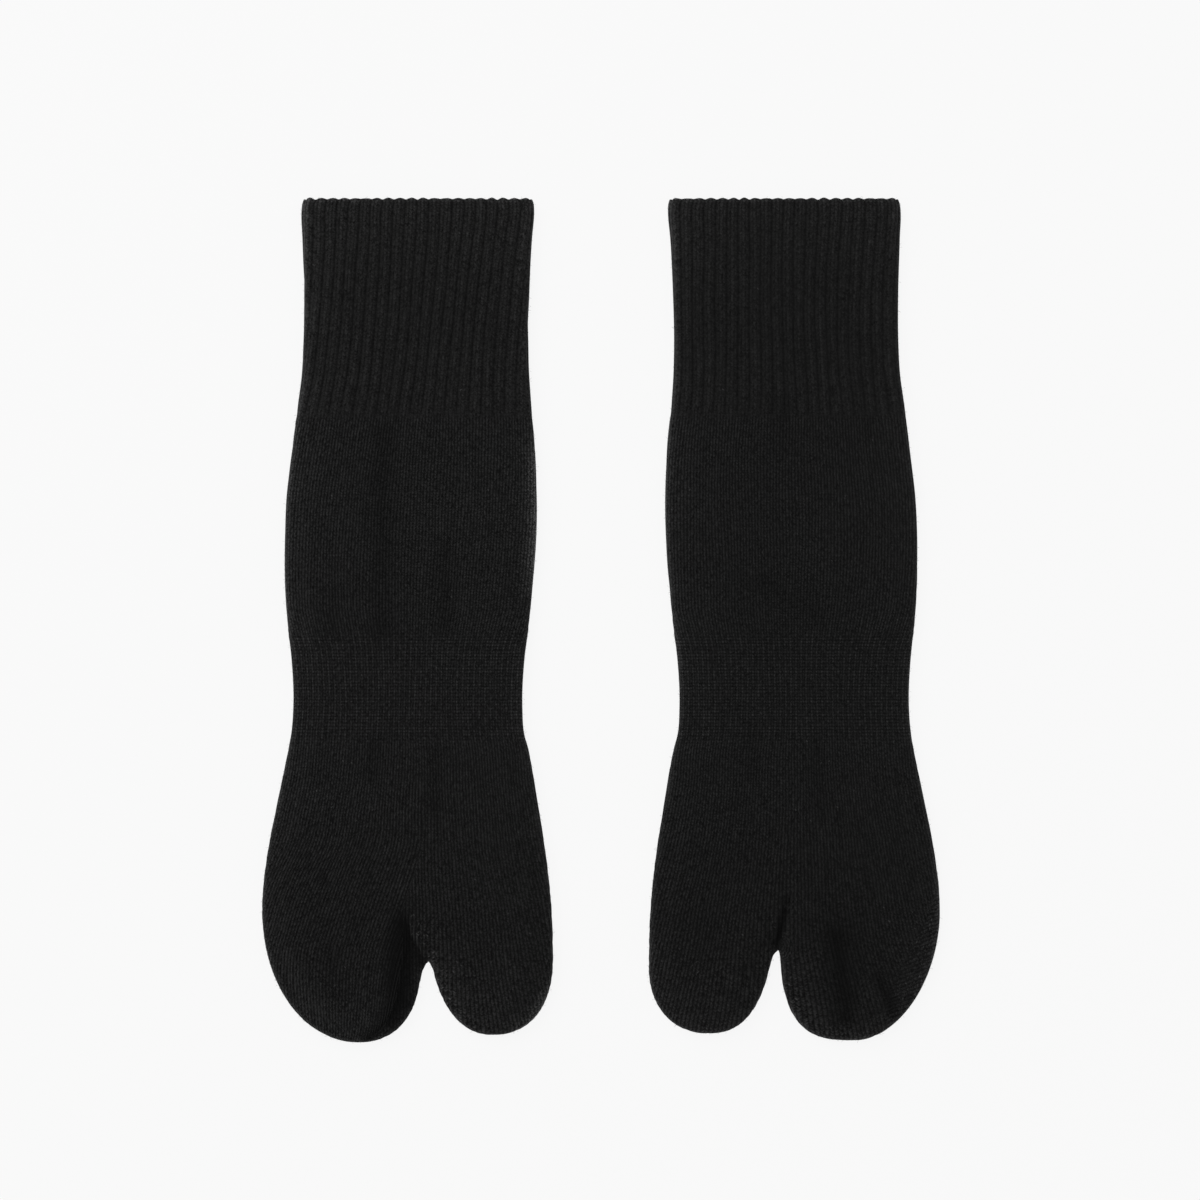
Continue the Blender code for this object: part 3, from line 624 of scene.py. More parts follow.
    def wale_lines(self, down, steps, slides):
        """The wales, and their places across on both parts of the top, at a station."""
        drift = {name: read_along(self.drift, name, down) for name in DRIFT_COLUMNS[1:]}
        edges = self.tube_edges(min(down, PARALLEL_FROM), 0.0)
        count = np.interp(down, *zip(*WALE_COUNTS))
        wide = (edges[1] - edges[0] - 2.0 * FOLD_RADIUS) / count
        listed = np.arange(-WALES_LISTED * steps, WALES_LISTED * steps + 1.0) / steps
        wale = listed + MIDDLE_WALE + round(drift["turned"])
        laid = sum(edges) / 2.0 + (wale - MIDDLE_WALE - drift["turned"]) * wide
        laid = laid + self.wander(wale, down, laid, edges) * wide
        seam = self.seam_across(down) if slides else None
        big_toe = laid + drift["big_toe_fan"] * fanned(laid - self.split_across)
        meet = self.split_across if seam is None else seam
        slid = laid - (drift["slide"] if slides else 0.0)
        four_toes = slid - drift["little_toe_fan"] * fanned(meet - slid)
        return wale, four_toes, big_toe, seam


def fanned(beyond):
    """The share of a fan's draw at a distance beyond the split."""
    share = np.clip(beyond / FAN_REACH, 0.0, FAN_LIMIT)
    return share * (1.0 + FAN_EASE) / (share + FAN_EASE)


def fold_offsets(columns, radius, slope, width):
    """Steps in from a folded edge, evenly spaced round its curve."""
    turns = np.linspace(0.0, math.pi / 2.0, columns + 1)
    reach = min(radius * math.hypot(1.0, slope), FOLD_LIMIT * width)
    return reach * (1.0 - np.cos(turns)), reach


def seamed_columns(wale, four_toes, big_toe, start, end, seam, margin):
    """Places, wales and keys of the columns on both sides of a seam, and its column."""
    seam = min(max(seam, start + margin), end - margin)
    sides = np.array([seam - SEAM_GAP / 2.0, seam + SEAM_GAP / 2.0])
    first = (four_toes > start) & (four_toes < sides[0] - margin)
    last = (big_toe > sides[1] + margin) & (big_toe < end)
    across = np.concatenate([four_toes[first], sides, big_toe[last]])
    at_seam = np.interp(sides[0], four_toes, wale), np.interp(sides[1], big_toe, wale)
    wales = np.concatenate([wale[first], at_seam, wale[last]])
    past = WALES_LISTED * 4.0
    low_key = (wale[first][-1] if np.any(first) else -past) + BESIDE_SEAM
    high_key = (wale[last][0] if np.any(last) else past) - BESIDE_SEAM
    keys = np.concatenate([wale[first], [low_key, high_key], wale[last]])
    return across, wales, keys, int(np.sum(first)) + 1


def past_fold(gap, reach):
    """How much longer the way round a fold is than its width in plan."""
    turn = np.arccos(np.clip(1.0 - gap / reach, -1.0, 1.0))
    return reach * (math.pi / 2.0 - turn) - (reach - np.minimum(gap, reach))


def knit_relief(wale, down):
    """How far the knit stands out at a wale and a station."""
    cuff = 1.0 - smooth_step((down - CUFF_END) / RIB_RUN_OUT + 0.5)
    arch = smooth_step((down - ARCH_START) / ARCH_EASE + 0.5)
    arch = arch - smooth_step((down - ARCH_END) / ARCH_EASE + 0.5)
    single = np.cos(2.0 * math.pi * wale)
    in_rib = np.mod(wale, WALES_IN_RIB) - WALES_IN_RIB / 2.0
    valley = np.exp(-((in_rib / RIB_VALLEY_WIDTH) ** 2))
    raised = np.cos(2.0 * math.pi * RAISED_SHARE * wale)
    rib = RIB_CREST - RIB_VALLEY * valley + RIB_WALE * raised
    pair = ARCH_PAIR * np.cos(math.pi * wale) + ARCH_WALE * single
    return cuff * rib + arch * pair + (1.0 - cuff - arch) * PLAIN_WALE * single


def knots(across, down):
    """Small uneven lumps, from -1 to 1."""
    (aside, slow_aside), (along, slow_along) = LUMP_SWAYS
    columns = np.sin(across / LUMP_SIZE + aside * np.sin(down / slow_aside))
    return columns * np.sin(down / LUMP_SIZE + along * np.sin(across / slow_along))


class Row:
    """A row of points along one face of the sock, with the keys that match it to others."""

    def __init__(self, points, keys, seam):
        self.points, self.keys, self.seam = points, keys, seam

    def seamed_keys(self):
        """Keys that keep the two sides of the seam apart."""
        return self.keys + SEAM_KEY * (np.arange(len(self.keys)) >= self.seam)


class Loom:
    """Collects a sock's points and faces."""

    FIELDS = (
        "across", "down", "height", "wale", "worked", "level", "inwards", "run", "spread",
    )

    def __init__(self, form, side):
        self.form, self.side = form, side
        self.fields = {name: [] for name in self.FIELDS}
        self.count = 0
        self.faces, self.face_levels = [], []

    def points(self, **fields):
        """Add points and give their numbers. worked is how far the relief shows."""
        size = len(np.atleast_1d(fields["across"]))
        for name in self.FIELDS:
            self.fields[name].append(np.ones(size) * fields[name])
        numbers = list(range(self.count, self.count + size))
        self.count += size
        return numbers

    def add_face(self, corners, flip, level):
        """Add a face that looks outwards."""
        if len(set(corners)) < 3:
            return
        outwards = flip != (self.side < 0)
        self.faces.append(corners[::-1] if outwards else corners)
        self.face_levels.append(level)

    def zip_rows(self, first, second, flip, level):
        """Join two rows with one strip of faces, by their keys."""
        a, b = first.points, second.points
        keys_a, keys_b = first.keys, second.keys
        if first.seam is not None and second.seam is not None:
            keys_a, keys_b = first.seamed_keys(), second.seamed_keys()
        i, j = 0, 0
        last_a, last_b = len(a) - 1, len(b) - 1
        while i < last_a or j < last_b:
            only_b, only_a = i == last_a, j == last_b
            if not only_a and not only_b:
                gap = keys_a[i + 1] - keys_b[j + 1]
                if abs(gap) < SAME_KEY:
                    self.add_face([a[i], b[j], b[j + 1], a[i + 1]], flip, level)
                    i, j = i + 1, j + 1
                    continue
                only_a = gap <= 0.0
            if only_a:
                self.add_face([a[i], b[j], a[i + 1]], flip, level)
                i += 1
            else:
                self.add_face([a[i], b[j], b[j + 1]], flip, level)
                j += 1

    def columns(self, edges_at, down, inset, face, toes):
        """A row's places across, the wale, key and spread at each, and its seam."""
        form = self.form
        low, high = edges_at(down, inset)
        ahead, behind = edges_at(down + SLOPE_STEP, inset), edges_at(down - SLOPE_STEP, inset)
        slopes = [(a - b) / (2.0 * SLOPE_STEP) for a, b in zip(ahead, behind)]
        radius, width = FOLD_RADIUS - inset, high - low
        low_steps, low_reach = fold_offsets(FOLD_COLUMNS[face], radius, slopes[0], width)
        high_steps, high_reach = fold_offsets(FOLD_COLUMNS[face], radius, slopes[1], width)
        steps = WALE_STEPS[face]
        wale, four_toes, big_toe, seam = form.wale_lines(down, steps, face == "top")
        margin = MARGIN / steps
        start, end = low + low_reach + margin, high - high_reach - margin
        half = len(low_steps)
        if seam is None or toes == "big" or end - start < LEAST_SEAMED:
            lines = four_toes if toes == "four" else big_toe
            if toes is None:
                lines = np.where(four_toes < form.split_across, four_toes, big_toe)
            kept = (lines > start) & (lines < end)
            between, between_wale, keys = lines[kept], wale[kept], wale[kept]
            first_lines, last_lines, seam_index = lines, lines, None
        else:
            between, between_wale, keys, before = seamed_columns(
                wale, four_toes, big_toe, start, end, seam, margin,
            )
            first_lines, last_lines, seam_index = four_toes, big_toe, half + before
        low_rim, high_rim = low + low_steps, (high - high_steps)[::-1]
        low_way = low_rim - past_fold(low_rim - low, low_reach)
        high_way = high_rim + past_fold(high - high_rim, high_reach)
        across = np.concatenate([low_rim, between, high_rim])
        wales = np.concatenate([
            np.interp(low_way, first_lines, wale), between_wale,
            np.interp(high_way, last_lines, wale),
        ])
        spread = np.concatenate([
            low_rim if toes == "big" else low_way, between,
            high_rim if toes == "four" else high_way,
        ])
        rim_keys = np.arange(half) * 1.0
        keys = np.concatenate([rim_keys - RIM_KEY, keys, rim_keys + RIM_KEY])
        return across, wales, keys, spread, seam_index

    def lay_row(self, columns, station, inset, level, top, **fields):
        """Add a row's points and give their numbers. Underneath, its ends are the top's."""
        across, wale, spread = columns
        plan = np.column_stack([across, np.full(len(across), station)])
        height, inwards = self.form.heights(plan, inset, level)
        height[[0, -1]] = FOLD_RADIUS
        chosen = slice(1, -1) if top else slice(None)
        numbers = self.points(
            across=across[chosen], height=height[chosen], wale=wale[chosen], level=level,
            inwards=inwards[chosen], spread=spread[chosen], **fields,
        )
        return top[:1] + numbers + top[-1:] if top else numbers

    def ring(self, edges_at, down, inset, faces, toes=None, lip=None, worked=None):
        """Add a ring at a station: a row over the top and a row underneath."""
        rows, top = {}, None
        shown_down, run = lip or (down, down if inset == 0.0 else -down)
        strength = (1.0 if inset == 0.0 else 0.0) if worked is None else worked
        for level, face in zip((1, -1), faces):
            across, wale, keys, spread, seam = self.columns(edges_at, down, inset, face, toes)
            numbers = self.lay_row(
                (across, wale, spread), down, inset, level, top,
                down=shown_down, run=run, worked=strength,
            )
            top = numbers
            rows[level] = Row(numbers, keys, seam)
        return rows

    def join(self, upper, lower, inside):
        """Join two rings, the second one further down."""
        self.zip_rows(upper[1], lower[1], inside, 1)
        self.zip_rows(upper[-1], lower[-1], not inside, -1)

    def close_tip(self, rows, toes, inset, inside):
        """Close a pocket with a fan to the point of its tip."""
        pocket = self.form.pockets[toes]
        tip_down = pocket["tip_down"] - inset
        wale = self.fields["wale"][-2][len(rows[1].points) // 2]
        tip = self.points(
            across=pocket["tip_across"], down=tip_down, height=FOLD_RADIUS, wale=wale,
            worked=0.0, level=1, inwards=0.0, run=tip_down if inset == 0.0 else -tip_down,
            spread=pocket["tip_across"],
        )[0]
        for level, flip in ((1, inside), (-1, not inside)):
            row = rows[level].points
            for first, second in zip(row, row[1:]):
                self.add_face([first, tip, second], flip, level)

    def pinch(self, inset, faces):
        """The ring at the top of the split, whose two loops share one point."""
        form = self.form
        down, middle = form.split_down - inset, form.split_across
        run, worked = (down, 1.0) if inset == 0.0 else (-down, 0.0)
        whole, loops = {}, {"four": {}, "big": {}}
        shared = top = None
        for level, face in zip((1, -1), faces):
            across, wale, keys, spread, seam = self.columns(
                form.tube_edges, down, inset, face, None,
            )
            split_wale = float(np.interp(middle, across, wale))
            kept = np.abs(across - middle) > PINCH_MARGIN / WALE_STEPS[face]
            across, wale, keys, spread = across[kept], wale[kept], keys[kept], spread[kept]
            numbers = self.lay_row(
                (across, wale, spread), down, inset, level, top,
                down=down, run=run, worked=worked,
            )
            if level > 0:
                top = numbers
                shared = self.points(
                    across=middle, down=down, height=FOLD_RADIUS, wale=split_wale,
                    worked=0.0, level=level, inwards=0.0, run=run, spread=middle,
                )[0]
            cut = int(np.searchsorted(across, middle))
            between = (keys[cut - 1] + keys[cut]) / 2.0
            loops["four"][level] = Row(
                numbers[:cut] + [shared], np.append(keys[:cut], RIM_KEY - 1.0), seam,
            )
            loops["big"][level] = Row(
                [shared] + numbers[cut:], np.insert(keys[cut:], 0, -RIM_KEY - 1.0), None,
            )
            whole[level] = Row(
                numbers[:cut] + [shared] + numbers[cut:], np.insert(keys, cut, between), seam,
            )
        return whole, loops

    def wall(self, inset, faces, stations, split_gaps, pocket_rows):
        """Knit one face of the cloth from the mouth to both tips; give its first ring."""
        form, inside = self.form, inset > 0.0
        split_stations = [form.split_down - inset - gap for gap in split_gaps]
        first = last = None
        for down in list(stations) + split_stations:
            ring = self.ring(form.tube_edges, down, inset, faces)
            if last:
                self.join(last, ring, inside)
            first, last = first or ring, ring
        whole, loops = self.pinch(inset, faces)
        self.join(last, whole, inside)
        for toes, loop in loops.items():
            last = loop

            def edges_at(down, edge_inset):
                return form.pocket_edges(toes, down, edge_inset)

            for down in form.pocket_stations(toes, inset, pocket_rows):
                ring = self.ring(edges_at, down, inset, faces, toes)
                self.join(last, ring, inside)
                last = ring
            self.close_tip(last, toes, inset, inside)
        return first

    def lip(self, outer, inner, faces):
        """Round the mouth over from the outer face to the inner one."""
        last = outer
        for turn in range(1, LIP_TURNS):
            angle = math.pi * turn / LIP_TURNS
            inset = WALL * (1.0 - math.cos(angle)) / 2.0
            down = LIP_LENGTH * (1.0 - math.sin(angle))
            run = LIP_LENGTH * (1.0 - 2.0 * turn / LIP_TURNS)
            ring = self.ring(
                self.form.tube_edges, LIP_LENGTH, inset, faces,
                lip=(down, run), worked=1.0 - inset / WALL,
            )
            self.join(ring, last, False)
            last = ring
        self.zip_rows(inner[1], last[1], False, 1)
        self.zip_rows(inner[-1], last[-1], True, -1)

    def gathered(self):
        """Everything collected, as one array a field."""
        return {name: np.concatenate(parts) for name, parts in self.fields.items()}


def corner_normals(places, faces):
    """A normal at each point, as the mean of its faces' normals by area."""
    normals = np.zeros_like(places)
    for size in (3, 4):
        chosen = np.array([face for face in faces if len(face) == size])
        if not len(chosen):
            continue
        ends = places[chosen]
        if size == 3:
            normal = np.cross(ends[:, 1] - ends[:, 0], ends[:, 2] - ends[:, 0])
        else:
            normal = np.cross(ends[:, 2] - ends[:, 0], ends[:, 3] - ends[:, 1])
        for corner in range(size):
            np.add.at(normals, chosen[:, corner], normal)
    return normals / np.maximum(np.linalg.norm(normals, axis=1), 1e-12)[:, None]


def tube_stations(start, end, gap):
    """Evenly spaced stations down the tube, closer where the knit changes."""
    stations = [start]
    while stations[-1] < end:
        at = stations[-1]
        near = min(abs(at - change) for change in (0.0, CUFF_END, ARCH_START, ARCH_END))
        far = smooth_step((near - CHANGE_START) / CHANGE_EASE)
        stations.append(at + gap * (NEAR_GAP + FAR_GAP * far))
    return stations[:-1]


def turned_knit(form, made):
    """Where the knit turns aside, from 0 to 1, and the wales and courses it has there."""
    across, down = made["across"], made["down"]
    lean, turn = np.sin(TURNED_LEAN), np.cos(TURNED_LEAN)
    share = np.zeros(len(across))
    wale = (turn * down - lean * across) / TURNED_WALE
    course = (turn * across + lean * down) / COURSE
    if form.turned_edge is not None:
        width = np.interp(down, form.turned_edge["down"], form.turned_edge["width"])
        width = width + TURNED_RIPPLE * np.sin(down / RIPPLE_SIZE)
        outside = (across < form.pockets["four"]["tip_across"]) & (width > TURNED_LEAST)
        share = outside * smooth_step((width - made["inwards"]) / TURNED_EASE + 0.5)
    if form.patch is not None:
        middle_across, middle_down, reach = form.patch
        aside, above = middle_across - across, middle_down - down
        apart = np.hypot(aside, above)
        beyond_slit = smooth_step((aside - SLIT_LEAN * above + SLIT_SHIFT) / SLIT_EASE)
        patch = smooth_step((reach - apart) / PATCH_EASE + 0.5) * beyond_slit
        wale = np.where(patch > 0.0, apart / PATCH_WALE, wale)
        course = np.where(patch > 0.0, PATCH_ROUND * np.arctan2(above, aside) / COURSE, course)
        share = np.maximum(share, patch)
    return share, wale, course


def given_light(form, made, plan, side):
    """How much light the cloth gives back at each point, painted into its colour: its tone along
    the sock, painted shade in troughs and creases, a painted lit side and painted highlights along
    the edges.
    """
    light = np.interp(made["down"], *zip(*TONES))
    shown = made["level"] > 0
    for trough in form.troughs:
        gap = distance_to_run(plan, trough) / trough["half_width"]
        taken = TROUGH_SHADE * (1.0 - math.exp(-SHADE_GROWTH * trough["amount"]))
        light = light * (1.0 - taken * shown * np.exp(-gap * gap))
    light = light * (1.0 - shown * strongest_run(plan, form.shades))
    lit = np.interp(made["down"], *zip(*SIDES))
    lit = lit * np.where(side * made["across"] < 0.0, 1.0, FAR_SIDE)
    light = light * (1.0 + shown * lit * np.exp(-made["inwards"] / SIDE_REACH))
    outside = made["worked"] > 0.0
    # painted highlights along the pale stripes
    pale = strongest_run(plan, form.pale) * np.exp(-made["inwards"] / PALE_WIDTH)
    # painted highlights along the folded edges and round the mouth
    edge = EDGE_HIGHLIGHT * np.exp(-made["inwards"] / EDGE_WIDTH)
    rim = RIM_HIGHLIGHT * np.exp(-((made["down"] / RIM_WIDTH) ** 2))
    crest = np.cos(2.0 * math.pi * made["wale"] / WALES_IN_RIB)
    rim = rim * ((1.0 - RIM_CRESTS) + RIM_CRESTS * crest)
    return light * (1.0 + outside * (pale + np.maximum(edge, rim)))


def stand(name, data):
    """Put data in the scene as an object."""
    thing = bpy.data.objects.new(name, data)
    bpy.context.scene.collection.objects.link(thing)
    return thing


def lay_out(mesh, made, face_levels):
    """Lay the cloth out flat as the bake's map: the top, then the underside."""
    run = np.where(made["run"] < 0.0, made["run"] * LINING_SHARE, made["run"])
    along = (run - run.min()) / (run.max() - run.min())
    aside = (made["spread"] - made["spread"].min()) / np.ptp(made["spread"])
    corners = np.empty(len(mesh.loops), dtype=np.int32)
    mesh.loops.foreach_get("vertex_index", corners)
    sizes = np.empty(len(mesh.polygons), dtype=np.int32)
    mesh.polygons.foreach_get("loop_total", sizes)
    under = np.repeat(np.array(face_levels) < 0, sizes)
    start = np.where(under, TOP_SHARE + MAP_GAP, MAP_GAP)
    height = np.where(under, 1.0 - TOP_SHARE, TOP_SHARE) - 2.0 * MAP_GAP
    places = np.column_stack([
        MAP_GAP + along[corners] * (1.0 - 2.0 * MAP_GAP), start + aside[corners] * height,
    ])
    bake_map = mesh.uv_layers.new(name="OFBake")
    bake_map.data.foreach_set("uv", places.astype(np.float32).ravel())


def closed_shell(form, side):
    """Knit a sock's outer face and its lining, and round the mouth over between them."""
    loom = Loom(form, side)
    rings = []
    for part, inset, faces, before_split in (
        ("outer", 0.0, ("top", "under"), BEFORE_SPLIT),
        ("lining", WALL, ("lining", "lining"), LINING_BEFORE_SPLIT),
    ):
        end = form.split_down - inset - before_split[0] - TUBE_END_GAP[part]
        stations = tube_stations(LIP_LENGTH, end, TUBE_GAP[part])
        rings.append(loom.wall(inset, faces, stations, before_split, POCKET_ROWS[part]))
    loom.lip(*rings, ("top", "under"))
    return loom


def knit_sock(name, form, side):
    """Make one sock's shell, with its knit raised and its looks kept on its points."""
    loom = closed_shell(form, side)
    made, faces = loom.gathered(), loom.faces
    across, down, wale = made["across"], made["down"], made["wale"]
    plan = np.column_stack([across, down])
    shown = (made["level"] > 0) & (made["worked"] > 0.0)
    turned, side_wale, side_course = turned_knit(form, made)
    turned = turned * shown
    light = given_light(form, made, plan, side)
    lint = shown * strongest_run(plan, form.lint)
    rib = np.cos(2.0 * math.pi * wale / WALES_IN_RIB)
    (slow, slow_wales), (fast, fast_wales) = SCALLOP_WAVES
    uneven = 1.0 + slow * np.sin(wale / slow_wales + form.phase)
    uneven = uneven + fast * np.sin(wale / fast_wales)
    scallop = MOUTH_SCALLOP * rib * uneven * (1.0 - smooth_step(down / SCALLOP_FADE))
    places = np.column_stack([side * across, scallop - down, made["height"]])
    normals = corner_normals(places, faces)
    raised = knit_relief(wale, down) * made["worked"] * (1.0 - turned)
    raised = np.where(made["level"] < 0, raised - (RIB_CREST + RIB_WALE), raised)
    raised = raised + RIDGE_LUMP * lint * knots(across, down)
    places = places + normals * raised[:, None]
    places[:, 0] += -side * CUFF_SPACING / 2.0 + PAIR_SHIFT[0]
    places[:, 1] += PAIR_SHIFT[1]
    places[:, 2] = np.maximum(places[:, 2], 0.0)
    mesh = bpy.data.meshes.new(name)
    mesh.from_pydata((places * MM).tolist(), [], faces)
    edge = np.exp(-made["inwards"] / FOLD_RADIUS)
    drawn = {
        "wale": wale,
        "course": down / COURSE,
        "side_wale": side_wale,
        "side_course": side_course,
        "turned": turned,
        "lint": lint,
        "light": light,
        "nap": shown * np.minimum(light, NAP_LIMIT) * (NAP_LEAST + NAP_AT_EDGE * edge),
    }
    for field, values in drawn.items():
        attribute = mesh.attributes.new(field, "FLOAT", "POINT")
        attribute.data.foreach_set("value", values.astype(np.float32))
    lay_out(mesh, made, loom.face_levels)
    mesh.shade_smooth()
    return stand(name, mesh)


class Wire:
    """A socket in a node tree. Python's operators on it add Math nodes."""

    def __init__(self, bench, socket):
        self.bench, self.socket = bench, socket

    def __add__(self, other):
        return self.bench.maths("ADD", self, other)

    def __sub__(self, other):
        return self.bench.maths("SUBTRACT", self, other)

    def __rsub__(self, other):
        return self.bench.maths("SUBTRACT", other, self)

    def __mul__(self, other):
        return self.bench.maths("MULTIPLY", self, other)

    def __gt__(self, other):
        return self.bench.maths("GREATER_THAN", self, other)

    __radd__, __rmul__ = __add__, __mul__


class Bench:
    """Adds nodes to one tree."""

    def __init__(self, tree):
        self.tree = tree

    def node(self, kind, settings=None, inputs=None, output=0):
        """Add a node, set it up, then give its sockets values or wires."""
        node = self.tree.nodes.new(kind)
        for name, value in (settings or {}).items():
            setattr(node, name, value)
        for key, value in (inputs or {}).items():
            if isinstance(value, Wire):
                self.tree.links.new(value.socket, node.inputs[key])
            else:
                node.inputs[key].default_value = value
        return Wire(self, node.outputs[output]) if len(node.outputs) else None

    def beside(self, wire, output):
        """Another output of the node that a wire comes from."""
        return Wire(self, wire.socket.node.outputs[output])

    def maths(self, operation, *values):
        """One Math node."""
        return self.node("ShaderNodeMath", {"operation": operation}, dict(enumerate(values)))

    def cosine(self, turns):
        """The cosine of a number of whole turns."""
        return self.maths("COSINE", turns * (2.0 * math.pi))

    def between(self, value, start, end):
        """Ease from 0 at start to 1 at end."""
        settings = {"interpolation_type": "SMOOTHSTEP"}
        inputs = {"Value": value, "From Min": start, "From Max": end}
        return self.node("ShaderNodeMapRange", settings, inputs)

    def mix_each(self, share, firsts, seconds):
        """Mix the numbers of two sets in pairs."""
        return [first + (second - first) * share for first, second in zip(firsts, seconds)]

    def attribute(self, name):
        """A number kept on the cloth's points."""
        return self.node("ShaderNodeAttribute", {"attribute_name": name}, output=2)

    def noise(self, place, scale, detail):
        """Soft noise from 0 to 1."""
        inputs = {"Vector": place, "Scale": scale, "Detail": detail}
        return self.node("ShaderNodeTexNoise", {}, inputs)

    def chance(self, across, along):
        """A number from 0 to 1 for each whole pair of numbers."""
        cell = self.node("ShaderNodeCombineXYZ", {}, {"X": across, "Y": along})
        settings = {"noise_dimensions": "2D"}
        return self.node("ShaderNodeTexWhiteNoise", settings, {"Vector": cell})

    def coat(self, inputs):
        """The surface that the material shows."""
        surface = self.node("ShaderNodeBsdfPrincipled", {}, inputs)
        self.node("ShaderNodeOutputMaterial", {}, {"Surface": surface})


def new_material(name):
    """A new material with an empty tree, and the bench for it."""
    material = bpy.data.materials.new(name)
    material.use_nodes = True
    material.node_tree.nodes.clear()
    return material, Bench(material.node_tree)


def grey(bench, level):
    """A neutral colour of that brightness."""
    return bench.node("ShaderNodeCombineColor", {}, {"Red": level, "Green": level, "Blue": level})


def stitches(bench, wale, course):
    """How high the yarn of plain stitches stands, and how light each stitch is."""
    column = bench.maths("ROUND", wale)
    aside = bench.maths("ABSOLUTE", wale - column)
    climb = course + aside * STITCH_SLANT
    stitch = bench.maths("FLOOR", climb)
    along = 2.0 * (climb - stitch) - 1.0
    loop = (1.0 - 4.0 * aside * aside) * (1.0 - STITCH_BEAD * along * along)
    whole = bench.chance(column, stitch)
    cell = bench.maths("FLOOR", climb * LEG_CELLS) + LEG_DRAW
    leg = bench.chance(bench.maths("FLOOR", wale * 2.0), cell)
    return loop, whole, leg


def zone(bench, down, start, end, ease):
    """1 between two stations, with an eased border at each."""
    entered = bench.between(down, start - ease / 2.0, start + ease / 2.0)
    return entered * bench.between(down, end + ease / 2.0, end - ease / 2.0)


def ribbing(bench, wale, course, place, cuff):
    """How light the cuff's uneven ribs are, painted lighter on their crests and darker in their
    sunk valleys as painted shade.
    """
    patchy = bench.noise(place, RIB_SCALE, 2.0)
    wander = RIB_WANDER * (patchy - 0.5)
    rib = bench.cosine((wale + wander) * (1.0 / WALES_IN_RIB)) * cuff
    rib = rib * (RIB_LEAST + RIB_RANGE * patchy)
    valley = bench.between(rib, VALLEY_START, VALLEY_FULL)
    streak_place = {"X": wale * STREAKS_IN_WALE, "Y": course * STREAKS_IN_COURSE}
    streak = bench.noise(bench.node("ShaderNodeCombineXYZ", {}, streak_place), 1.0, 2.0)
    streak = 1.0 + STREAKS * cuff * (streak - 0.5)
    return (1.0 + RIB_CONTRAST * rib) * (1.0 - RIB_DARKENING * valley) * streak


def open_rows(bench, wale, down, arch):
    """How light the arch band is, and where its rows of small holes are."""
    pair = bench.cosine(wale * 0.5)
    row = bench.cosine(down * (1.0 / ARCH_ROW))
    hole = (0.5 - 0.5 * pair) * (0.5 - 0.5 * row) * arch
    bead = ((1.0 - BEAD_IN_PAIRS) + BEAD_IN_PAIRS * pair) * row * arch
    light = (1.0 - HOLE_SHADE * hole) * (1.0 + ARCH_BEAD * bead)
    light = light * (1.0 + ARCH_CONTRAST * pair * arch) * (1.0 + ARCH_PALER * arch)
    return light, hole


def uneven_yarn(bench, whole, leg, place):
    """How much lighter or darker each stitch, each leg and each bit of its yarn is."""
    grainy = bench.noise(place, GRAIN_SCALE, 2.0)
    uneven = UNEVEN_STITCH * whole - UNEVEN_STITCH / 2.0
    uneven = uneven + ((1.0 + LEG_SKEW * leg) * leg - LEG_MEAN)
    return uneven + (UNEVEN_YARN * grainy - UNEVEN_YARN / 2.0)


def black_knit(name, tone, grain):
    """Black cotton yarn, knitted, with its stitches drawn along the wales and courses."""
    material, bench = new_material(name)
    wale, course = bench.attribute("wale"), bench.attribute("course")
    turned, lint = bench.attribute("turned"), bench.attribute("lint")
    place = bench.node("ShaderNodeTexCoord", output=3)
    down = course * COURSE
    cuff = zone(bench, down, -CUFF_END, CUFF_END, RIB_RUN_OUT)
    side = stitches(bench, bench.attribute("side_wale"), bench.attribute("side_course"))
    ribbed = stitches(bench, wale * RAISED_SHARE, course)
    plain = bench.mix_each(turned, stitches(bench, wale, course), side)
    loop, whole, leg = bench.mix_each(cuff, plain, ribbed)
    arch = zone(bench, down, ARCH_START, ARCH_END, ARCH_EASE)
    softer = CUFF_SOFTER * cuff * (0.5 + 0.5 * bench.between(down, 0.0, SOFTER_BY))
    # painted shade: darker in the gaps between the loops, lighter on their crests
    yarn = 1.0 + (loop - LOOP_MEAN) * (STITCH_CONTRAST - softer - ARCH_SOFTER * arch)
    foot = bench.between(down, ARCH_END, ARCH_END + FOOT_REACH)
    rough = grain * (1.0 + FOOT_GRAIN * foot) - CUFF_SMOOTHER * cuff
    cloudy = bench.noise(place, CLOUD_SCALE, 3.0)
    yarn = yarn * ((1.0 - CLOUDS) + 2.0 * CLOUDS * cloudy)
    yarn = yarn * (1.0 + rough * uneven_yarn(bench, whole, leg, place))
    arch_light, hole = open_rows(bench, wale, down, arch)
    yarn = yarn * ribbing(bench, wale, course, place, cuff) * arch_light
    yarn = yarn * (1.0 - LINT_GRAIN * lint + (LINT_SPARKLE * LINT_GRAIN) * lint * leg)
    # the painted light and shade kept on the cloth's points
    yarn = yarn * bench.attribute("light")
    speck = leg > (SPECK_START - LINT_SPECKS * lint)
    level = (yarn + SPECK * speck * (0.5 + whole)) * (YARN_COLOUR * tone)
    height = loop * (1.0 - HOLE_DEPTH * hole) + STITCH_LUMP * whole
    bump = bench.node(
        "ShaderNodeBump", {}, {"Strength": 1.0, "Distance": STITCH_HEIGHT, "Height": height},
    )
    bench.coat({
        "Base Color": grey(bench, level),
        "Roughness": YARN_ROUGHNESS - LOOP_POLISH * loop,
        "Specular IOR Level": YARN_SHINE,
        "Sheen Weight": FUZZ_SHEEN,
        "Sheen Roughness": SHEEN_ROUGHNESS,
        "Normal": bump,
    })
    return material


